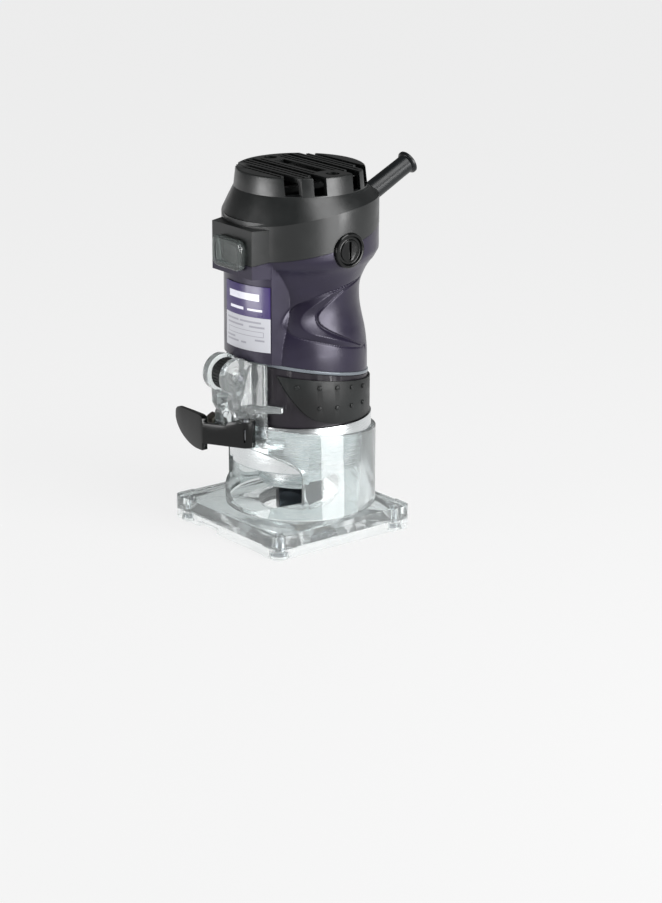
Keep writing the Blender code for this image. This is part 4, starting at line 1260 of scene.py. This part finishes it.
@dataclass
class Housing:
    """The violet motor housing: a waisted body, a curved front pad and a pressed sweep on each side."""

    side_radius: float = 31.3
    tail: float = 66.0
    pad_radius: float = PAD_RADIUS
    pad_y: float = PAD_Y
    pad_half: float = PAD_HALF
    box_front: float = 43.5
    box_low: float = 140.0
    box_sine: float = 0.517
    box_side: tuple[float, float, float] = (9.5, 3.6, 316.2)
    upper: tuple[Point, ...] = (
        (68.0, 134.9), (58.0, 133.4), (48.5, 131.5), (42.3, 130.3), (33.7, 127.4), (26.4, 125.0), (22.0, 120.8),
        (20.2, 116.2), (21.0, 112.8), (24.9, 109.5), (30.3, 107.8), (37.6, 105.9), (48.7, 102.5), (59.5, 99.8),
        (70.0, 97.6),
    )
    lower: tuple[Point, ...] = (
        (68.0, 134.2), (53.7, 130.6), (43.9, 125.1), (38.7, 121.1), (37.1, 118.3), (38.2, 114.7), (42.4, 111.2),
        (51.2, 106.4), (62.5, 100.7), (70.0, 98.0),
    )
    crest: tuple[Point, ...] = (
        (66.0, 134.8), (48.5, 131.0), (38.7, 126.6), (31.7, 122.0), (28.8, 118.0), (29.3, 114.0), (32.7, 111.0),
        (40.8, 108.4), (51.2, 104.7), (68.0, 98.4),
    )

    def columns(self) -> list[float]:
        """Returns the angles of the mesh's columns, closer together where the sweep lies.

        Returns:
            Degrees from the front, rising.
        """
        right = [0.0]
        while right[-1] < 178.0:
            step = 0.62 if 34.0 < right[-1] < 116.0 else 1.6
            right.append(right[-1] + step)
        right = [a for a in right if all(abs(a - b) > 0.45 for b in (21.12, 31.18))]
        right = sorted([*right, 20.9, 21.12, 21.34, 30.9, 31.18, 31.46])
        right = [a for a in right if a < 179.6]
        return [*right, 180.0, *(360.0 - a for a in reversed(right) if a > 0)]

    def levels(self) -> list[float]:
        """Returns the heights of the mesh's rings.

        Returns:
            Millimetres, rising.
        """
        low = [78.0 + 1.6 * i for i in range(12)]
        middle = [97.5 + 0.4 * i for i in range(105)]
        high = [139.8, 140.05, 140.3, 141.0, *(142.0 + 1.3 * i for i in range(26))]
        return [*low, *middle, *high]

    def inside(self, s: float, z: float, line: Sequence[Point]) -> bool:
        """Tells whether a point lies within a sweep line that is open to the right.

        Args:
            s: Distance round the side from the front.
            z: Height.
            line: The sweep line.

        Returns:
            Whether the point is within it.
        """
        within = False
        for (a, b), (c, d) in zip(line, [*line[1:], line[0]]):
            if (b > z) != (d > z) and s < (c - a) * (z - b) / (d - b) + a:
                within = not within
        return within

    def away(self, s: float, z: float, line: Sequence[Point]) -> float:
        """Returns the distance from a point to a line.

        Args:
            s: Distance round the side from the front.
            z: Height.
            line: The line's points.

        Returns:
            Millimetres.
        """
        best = 99.0
        for (a, b), (c, d) in zip(line, line[1:]):
            u, v = c - a, d - b
            t = max(0.0, min(1.0, ((s - a) * u + (z - b) * v) / (u * u + v * v)))
            best = min(best, (s - a - t * u) ** 2 + (z - b - t * v) ** 2)
        return math.sqrt(best)

    def relief(self, s: float, z: float, lines: Sequence[Sequence[Point]]) -> float:
        """Returns how far the sweep stands out at a point of the unrolled side.

        Args:
            s: Distance round the side from the front.
            z: Height.
            lines: The sweep's outer line, its inner line and the crest between them.

        Returns:
            Millimetres outwards, negative in the grooves.
        """
        if not (18.0 < s < 70.0 and 96.0 < z < 136.0):
            return 0.0
        outer, inner, crest = (self.away(s, z, line) for line in lines)
        groove = 0.6 * max(0.0, 1.0 - (inner / 0.8) ** 2)
        groove = max(groove, 0.3 * max(0.0, 1.0 - (outer / 0.7) ** 2))
        if s > self.tail or self.inside(s, z, lines[1]) or not self.inside(s, z, lines[0]):
            return -groove
        height = min(0.2 * (outer + inner), 1.7)
        foot = inner if self.inside(s, z, lines[2]) else outer
        return height * foot / (foot + crest + 0.001) - groove

    def reach(self, turn_by: float, z: float, waist: float) -> float:
        """Returns the radius of the body, the pad or the switch box, whichever stands proud.

        Args:
            turn_by: The angle from the front in degrees.
            z: Height.
            waist: The body's own radius there.

        Returns:
            The radius in millimetres.
        """
        angle = math.radians(turn_by if turn_by <= 180 else turn_by - 360)
        sine, cosine = abs(math.sin(angle)), math.cos(angle)
        if cosine < 0.4:
            return waist
        pad = -self.pad_y * cosine + math.sqrt((self.pad_y * cosine) ** 2 + self.pad_radius**2 - self.pad_y**2)
        pad = min(pad, self.pad_half / max(sine, 0.01))
        if z > self.box_low:
            # The box's slanted side is the line a * across + b * forwards = c.
            a, b, c = self.box_side
            box = min(self.box_front / cosine, c / (a * sine + b * cosine))
            if sine < self.box_sine:
                pad = max(pad, box)
        return max(waist, pad)

    def build(self) -> None:
        """Wraps a grid round the body, presses the sweeps in, and hollows it."""
        columns, levels = self.columns(), self.levels()
        deselect()
        bpy.ops.mesh.primitive_grid_add(x_subdivisions=len(columns), y_subdivisions=len(levels) - 1, size=1)
        shell = named("housing_shell")
        profile = sorted((z, r) for r, z in smooth_line(WAIST, 5))
        lines = [smooth_line(line, 3) for line in (self.upper, self.lower, self.crest)]
        wide = len(columns) + 1
        waists = []
        for z in levels:
            near = max(i for i, (height, _) in enumerate(profile[:-1]) if height <= z)
            (z0, r0), (z1, r1) = profile[near], profile[near + 1]
            waists.append(r0 + (r1 - r0) * (z - z0) / (z1 - z0 or 1.0))
        for index, vertex in enumerate(shell.data.vertices):
            row, column = divmod(index, wide)
            z, angle = levels[row], columns[column % len(columns)]
            reach = self.reach(angle, z, waists[row])
            reach += self.relief(math.radians(min(angle, 360 - angle)) * self.side_radius, z, lines)
            x, y = on_circle(reach, angle)
            vertex.co = (x * MM, y * MM, z * MM)
        open_edit(shell)
        bpy.ops.mesh.remove_doubles(threshold=MERGE)
        bpy.ops.mesh.select_all(action="SELECT")
        bpy.ops.mesh.fill_holes(sides=0)
        bpy.ops.mesh.select_all(action="SELECT")
        bpy.ops.mesh.normals_make_consistent(inside=False)
        close_edit()
        bisect(shell, SEAM[0], SEAM[1], False)
        bisect(shell, SPLIT[0] - 0.1, SPLIT[1], True)
        hollow = [(37.8, 190.0), *((r - 2.6, z) for r, z in WAIST[2:-1]), (32.0, 60.0)]
        tool = turn("hollow", hollow, 64)
        carve(shell, fuse(tool, fittings()))
        bosses = []
        for angle in SCREW_TURNS:
            x, y = on_circle(SCREW_CIRCLE, angle)
            boss = turn("boss", [(2.8, 98.5), (2.8, 84.0), (2.0, 84.0), (2.0, 98.5)], 24, ring=True)
            boss.data.transform(Matrix.Translation((x * MM, y * MM, 0)))
            bosses.append(bisect(boss, SEAM[0] + 0.2, SEAM[1], False))
        pick(shell)
        for boss in bosses:
            boss.select_set(True)
        bpy.ops.object.join()
        smooth(shell, 28)
        fit(shell, Body.MOTOR, VIOLET, "motor_housing")


@dataclass
class EndCover:
    """The charcoal end cover with its slotted drum, and its two screws."""

    profile: tuple[Point, ...] = (
        (32.4, 190.6), (33.0, 190.3), (33.2, 189.8), (33.9, 183.4), (34.2, 181.0), (34.9, 179.7), (37.4, 177.0),
        (40.4, 173.9), (40.4, 130.0),
    )
    crease: float = 173.9
    slots: tuple[float, ...] = (-23.0, -11.5, 11.5, 22.5)
    screw_x: float = 26.0

    def pad_outline(self) -> list[Point]:
        """Returns the front pad from above.

        Returns:
            (X, Y) points round it.
        """
        edge = PAD_Y - math.sqrt(PAD_RADIUS**2 - PAD_HALF**2)
        front = [p for p in arc(PAD_RADIUS, -35, 35, 28, (0, PAD_Y)) if abs(p[0]) < 20.4]
        return [(PAD_HALF, -12), (PAD_HALF, edge), *reversed(front), (-PAD_HALF, edge), (-PAD_HALF, -12)]

    def build(self) -> None:
        """Builds the cover and its screws."""
        cover = turn("end_cover", self.profile, 144)
        for vertex in cover.data.vertices:
            share = {self.crease: 1.0, 177.0: 0.45}.get(round(vertex.co.z / MM, 1), 0.0)
            y = vertex.co.y / MM
            vertex.co.z += share * (0.13 * y - 0.002 * y * y) * MM
        fuse(cover, slab("cover_pad", self.pad_outline(), 131, 168))
        box = mirrored([(16.8, -43.5), (20.4, -34.0), (18.4, -25.0)])
        fuse(cover, slab("cover_box", box, 132, 165.0))
        carve(cover, half_space("cover_split", SPLIT[0] + 0.1, SPLIT[1], False))
        hollow = turn("hollow", [(31.0, 187.6), (32.0, 180), (37.4, 170.5), (37.9, 120)], 96)
        for x in (-self.screw_x, self.screw_x):
            carve(hollow, rod("post", 4.6, (x, COVER_SCREW_Y, 172), (x, COVER_SCREW_Y, 195), 32))
        carve(hollow, block("cross_rib", (-1.5, -45, 177.6), (1.5, 45, 180.6)))
        carve(cover, hollow)
        for y in self.slots:
            gap = block("slot", (-29, y - 3.2, 181.4), (50, y + 3.2, 200))
            fuse(gap, block("window", (-50, y - 3.2, 181.4), (-28, y + 3.2, 187.4)))
            length = 0.9 * math.sqrt(31.0**2 - y * y)
            carve(cover, gap)
            fuse(cover, block("fin", (-length - 4.0, y - 0.8, 184.6), (length - 3.5, y + 0.8, 190.3)))
        for y in (-17.2, 6.2, -6.2, 17.0):
            carve(cover, block("line", (-26.0, y - 0.7, 189.3), (26.0 if abs(y) > 7 else 20.0, y + 0.7, 192)))
        carve(cover, block("short_slot", (-18, -3.2, 185.0), (18, 3.2, 200)))
        for x in (-self.screw_x, self.screw_x):
            top = (x, COVER_SCREW_Y, 200)
            carve(
                cover,
                rod("hole", 1.8, (x, COVER_SCREW_Y, 160), top, 24),
                rod("well", 3.5, (x, COVER_SCREW_Y, 182), top, 48),
            )
        carve(cover, fittings())
        smooth(soften(cover, 0.35, 2, 40), 17)
        fit(cover, Body.MOTOR, CHARCOAL, "top_cover")
        self.make_screws()

    def make_screws(self) -> None:
        """Builds the two cover screws."""
        profile = [(1.6, 184.8), (2.5, 184.5), (3.1, 183.8), (3.1, 182.3), (1.5, 182.3), (1.5, 166.2), (0.9, 165.6)]
        screw = turn("lid_screw", profile, 32)
        cross_slots(screw, 1.8, 0.35, 183.6, 186)
        smooth(screw)
        for word, side in (("right", 1), ("left", -1)):
            move = Matrix.Translation((side * self.screw_x * MM, COVER_SCREW_Y * MM, 0))
            twin = copied(screw, "lid_screw_" + word, move)
            fit(twin, Body.MOTOR, STEEL, "cover_screw_" + word)
        bpy.data.objects.remove(screw, do_unlink=True)


@dataclass
class RatingLabel:
    """The printed sheet bent round the front pad."""

    first: float = -16.5
    last: float = 35.0
    low: float = 101.5
    high: float = 135.5

    def build(self) -> None:
        """Builds the label."""
        back, front = (arc(PAD_RADIUS + out, self.first, self.last, 48, (0, PAD_Y)) for out in (0.3, 0.6))
        sheet = slab("rating_sheet", [*back, *reversed(front)], self.low, self.high)
        smooth(soften(sheet, 0.12, 2, 60), 30)
        fit(sheet, Body.MOTOR, LABEL, "label")


@dataclass
class Switch:
    """The rocker switch's clear dust cap and its key."""

    height: float = 151.5
    half: float = 12.2
    tall: float = 7.9

    def rounded(self, half: float, tall: float, corner: float) -> list[Point]:
        """Returns a rectangle with round corners about the switch's middle.

        Args:
            half: Half its width.
            tall: Half its height.
            corner: The corners' radius.

        Returns:
            (X, Z) points round it.
        """
        points = []
        for u, v, first in ((1, 1, 0), (-1, 1, 90), (-1, -1, 180), (1, -1, 270)):
            for i in range(9):
                angle = math.radians(first + 90 * i / 8)
                x = u * (half - corner) + corner * math.cos(angle)
                points.append((x, self.height + v * (tall - corner) + corner * math.sin(angle)))
        return points

    def build(self) -> None:
        """Builds the cap and the key."""
        cap = slab("dust_cap", self.rounded(self.half, self.tall, 4.2), -47.4, -43.65, Axis.Y)
        soften(cap, 1.1, 4, 50)
        dish = slab("dish", self.rounded(self.half - 3.0, self.tall - 2.7, 2.8), -48.4, -46.7, Axis.Y)
        room = slab("room", self.rounded(self.half - 2.4, self.tall - 1.6, 2.6), -46.0, -40.0, Axis.Y)
        carve(cap, soften(dish, 0.4, 2, 50), room)
        smooth(cap, 40)
        fit(cap, Body.MOTOR, CAP, "switch_boot")
        outline = smooth_line([(-4.8, -5.9), (-4.35, -3.0), (-4.2, 0), (-4.35, 3.0), (-4.8, 5.9)], 4)
        key = slab("rocker_key", [(0.4, -4.2), *outline, (0.4, 4.2)], -7.5, 7.5, Axis.X)
        smooth(soften(key, 0.45, 3, 40), 40)
        tilt = Matrix.Rotation(math.radians(-6), 4, "X")
        key.data.transform(Matrix.Translation((0, -38.9 * MM, self.height * MM)) @ tilt)
        fit(key, Body.ROCKER, KEY, "switch_rocker")


@dataclass
class CordSleeve:
    """The hollow rubber sleeve that the supply cord leaves through."""

    start: Place = (0.0, 33.0, 164.0)
    rise: float = 27.0
    length: float = 43.6

    def build(self) -> None:
        """Builds the sleeve with its end collar."""
        end = self.length
        profile = [
            (5.9, end), (6.3, end - 0.4), (6.3, end - 1.4), (5.9, end - 1.9), (5.0, end - 2.5), (4.95, end - 6.0),
            (5.15, 20.0), (5.3, 6.0), (5.3, 0.0), (3.9, 0.0), (3.9, end - 0.4), (4.2, end),
        ]
        guard = turn("cord_sleeve", profile, 72, ring=True)
        lean = Matrix.Rotation(math.radians(self.rise - 90), 4, "X")
        guard.data.transform(Matrix.Translation([v * MM for v in self.start]) @ lean)
        fit(smooth(guard, 40), Body.MOTOR, GUARD_RUBBER, "cord_guard")


@dataclass
class Brushes:
    """The two brush caps, each with raised rings and an upright slot."""

    height: float = 153.6
    radius: float = 9.0

    def build(self) -> None:
        """Builds one cap and turns a copy of it to the other side."""
        profile = [
            (5.3, 41.2), (5.6, 41.0), (5.7, 40.4), (6.9, 40.4), (7.1, 40.7), (7.5, 41.5), (7.9, 41.6), (8.5, 41.6),
            (8.9, 41.2), (self.radius, 40.7), (self.radius, 36.6), (3.9, 36.6), (3.9, 34.5),
        ]
        cap = turn("screw_cap", profile, 96, Axis.X)
        carve(cap, block("slot", (39.7, -0.75, -4.6), (50, 0.75, 4.6)))
        smooth(soften(cap, 0.12, 2, 50), 30)
        for word, turned in (("right", 0.0), ("left", math.pi)):
            move = Matrix.Translation((0, 0, self.height * MM)) @ Matrix.Rotation(turned, 4, "Z")
            fit(copied(cap, "screw_cap_" + word, move), Body.MOTOR, GLOSS, "brush_cap_" + word)
        bpy.data.objects.remove(cap, do_unlink=True)


# ------------------------------------------------------------------ drive


@dataclass
class Drive:
    """The shaft with its collet, nut and ring, and the parts of the motor inside."""

    flats: float = 24.0
    nut_low: float = 6.0
    nut_high: float = 20.4

    def build(self) -> None:
        """Builds what shows below the bracket."""
        profile = [
            (3.4, 171.8), (3.7, 171.5), (3.7, 162.6), (4.9, 162.4), (4.9, 36.4), (5.7, 36.2), (5.7, 17.6),
            (5.5, 17.4), (3.2, 17.4), (3.2, 27.0), (1.0, 28.2),
        ]
        shaft = turn("main_shaft", profile, 48)
        fit(smooth(shaft, 30), Body.SPINDLE, STEEL, "armature_shaft")
        band = [(9.0, 23.6), (9.5, 23.2), (9.8, 22.6), (9.8, 21.2), (9.5, 20.9), (6.0, 20.9), (6.0, 23.6)]
        ring = turn("bronze_ring", band, 72, ring=True)
        fit(smooth(ring, 30), Body.SPINDLE, BRONZE, "spindle_ring")
        collet = turn("split_collet", [(5.2, 17.0), (5.2, 12.0), (4.6, 7.6), (3.2, 7.6), (3.2, 17.0)], 56, ring=True)
        cross_slots(collet, 8, 0.25, 5, 14.5)
        fit(smooth(collet, 30), Body.SPINDLE, STEEL, "collet")
        corner = self.flats / math.sqrt(3)
        nut = rod("hex_nut", corner, (0, 0, self.nut_low), (0, 0, self.nut_high), 6)
        bowl = turn("bowl", [(9.6, 21.2), (12.6, 18.6), (14.2, 16.4), (14.2, 7.2), (12.6, 5.4)], 96)
        carve(nut, bowl, how="INTERSECT")
        room = [(6.0, 30), (6.0, 17.2), (5.6, 17.0), (5.6, 12.0), (4.9, 7.4), (4.4, 5.0)]
        carve(nut, turn("nut_room", room, 48))
        smooth(soften(nut, 0.3, 2, 25), 30)
        fit(nut, Body.SPINDLE, OXIDE, "collet_nut")

    def dress_inside(self) -> None:
        """Dresses the parts of the motor that the casing hides."""
        dress(BRASS, "brush_holder_right", "brush_holder_left")
        dress(CARBON, "carbon_brush_right", "carbon_brush_left")
        dress(STEEL_X, "brush_spring_right", "brush_spring_left")
        dress(STEEL, "upper_bearing", "lower_bearing")
        dress(STACK, "stator_core", "armature_core")
        dress(COPPER, "field_coil_right", "field_coil_left", "armature_winding")
        dress(BARS, "commutator")
        dress(INNER, "switch_body", "bearing_bridge", "cooling_fan")


# ------------------------------------------------------------------ studio


@dataclass
class Studio:
    """A pale floor, soft boxes and the camera."""

    turn_by: float = 52.44
    distance: float = 1339.73
    height: float = 466.46
    pitch: float = 15.92
    lights: tuple[tuple[str, Place, Place, float, float], ...] = (
        ("front_box", (-160.0, -783.0, 120.0), (0.0, 0.0, 100.0), 420.0, 5.5),
        ("side_box", (831.0, 177.0, 200.0), (0.0, 0.0, 100.0), 560.0, 11.0),
        ("top_box", (480.0, 60.0, 830.0), (0.0, 0.0, 100.0), 560.0, 6.0),
    )

    def build(self) -> None:
        """Builds the stage."""
        self.make_floor()
        self.make_lights()
        self.make_camera()

    def make_floor(self) -> None:
        """Lays the pale floor."""
        deselect()
        bpy.ops.mesh.primitive_plane_add(size=90.0)
        floor = named("studio_floor")
        paper = bpy.data.materials.new("pale_paper")
        paper.use_nodes = True
        shader = paper.node_tree.nodes["Principled BSDF"]
        # Back-lit white acrylic: even and pale, with only a faint contact shadow.
        shader.inputs["Base Color"].default_value = linear("#4A4A4A")
        shader.inputs["Roughness"].default_value = 0.8
        shader.inputs["Specular IOR Level"].default_value = 0.0
        shader.inputs["Emission Color"].default_value = linear("#FFFFFF")
        shader.inputs["Emission Strength"].default_value = 0.83
        floor.data.materials.append(paper)

    def make_lights(self) -> None:
        """Sets the even surround and the soft boxes."""
        world = bpy.data.worlds.new("studio_surround")
        bpy.context.scene.world = world
        world.use_nodes = True
        back = world.node_tree.nodes["Background"]
        back.inputs["Color"].default_value = linear("#FFFFFF")
        back.inputs["Strength"].default_value = 0.15
        for name, place, target, size, power in self.lights:
            lamp = bpy.data.lights.new(name, "AREA")
            lamp.shape = "RECTANGLE"
            lamp.size = size * MM
            lamp.size_y = max(size, 420.0) * MM
            lamp.energy = power
            box = bpy.data.objects.new(name, lamp)
            bpy.context.scene.collection.objects.link(box)
            box.location = [v * MM for v in place]
            box.visible_camera = False
            way = Vector(target) - Vector(place)
            box.rotation_euler = way.to_track_quat("-Z", "Y").to_euler()

    def make_camera(self) -> None:
        """Sets the camera at the object's viewing angle."""
        data = bpy.data.cameras.new("studio_camera")
        data.sensor_fit = "VERTICAL"
        data.sensor_height = 36.0
        data.lens = 106.83
        data.shift_x = 0.034
        data.shift_y = -0.0947
        data.clip_end = 200.0
        camera = bpy.data.objects.new("studio_camera", data)
        bpy.context.scene.collection.objects.link(camera)
        a, p = math.radians(self.turn_by), math.radians(self.pitch)
        camera.location = (
            self.distance * math.sin(a) * MM,
            (AXIS_Y - self.distance * math.cos(a)) * MM,
            self.height * MM,
        )
        way = Vector((-math.sin(a) * math.cos(p), math.cos(a) * math.cos(p), -math.sin(p)))
        camera.rotation_euler = way.to_track_quat("-Z", "Y").to_euler()
        bpy.context.scene.camera = camera
        bpy.context.scene.view_settings.view_transform = "Standard"


def main() -> None:
    """Builds the router piece by piece, dresses it and sets the stage."""
    logging.basicConfig(level=logging.INFO, format="%(message)s")
    drive = Drive()
    for part in (
        ClearBase(), ThumbLever(), DepthRoller(), BearingBracket(), FanSleeve(), Housing(), EndCover(),
        RatingLabel(), Switch(), CordSleeve(), Brushes(), drive,
    ):
        part.build()
    drive.dress_inside()
    Studio().build()


if __name__ == "__main__":
    main()
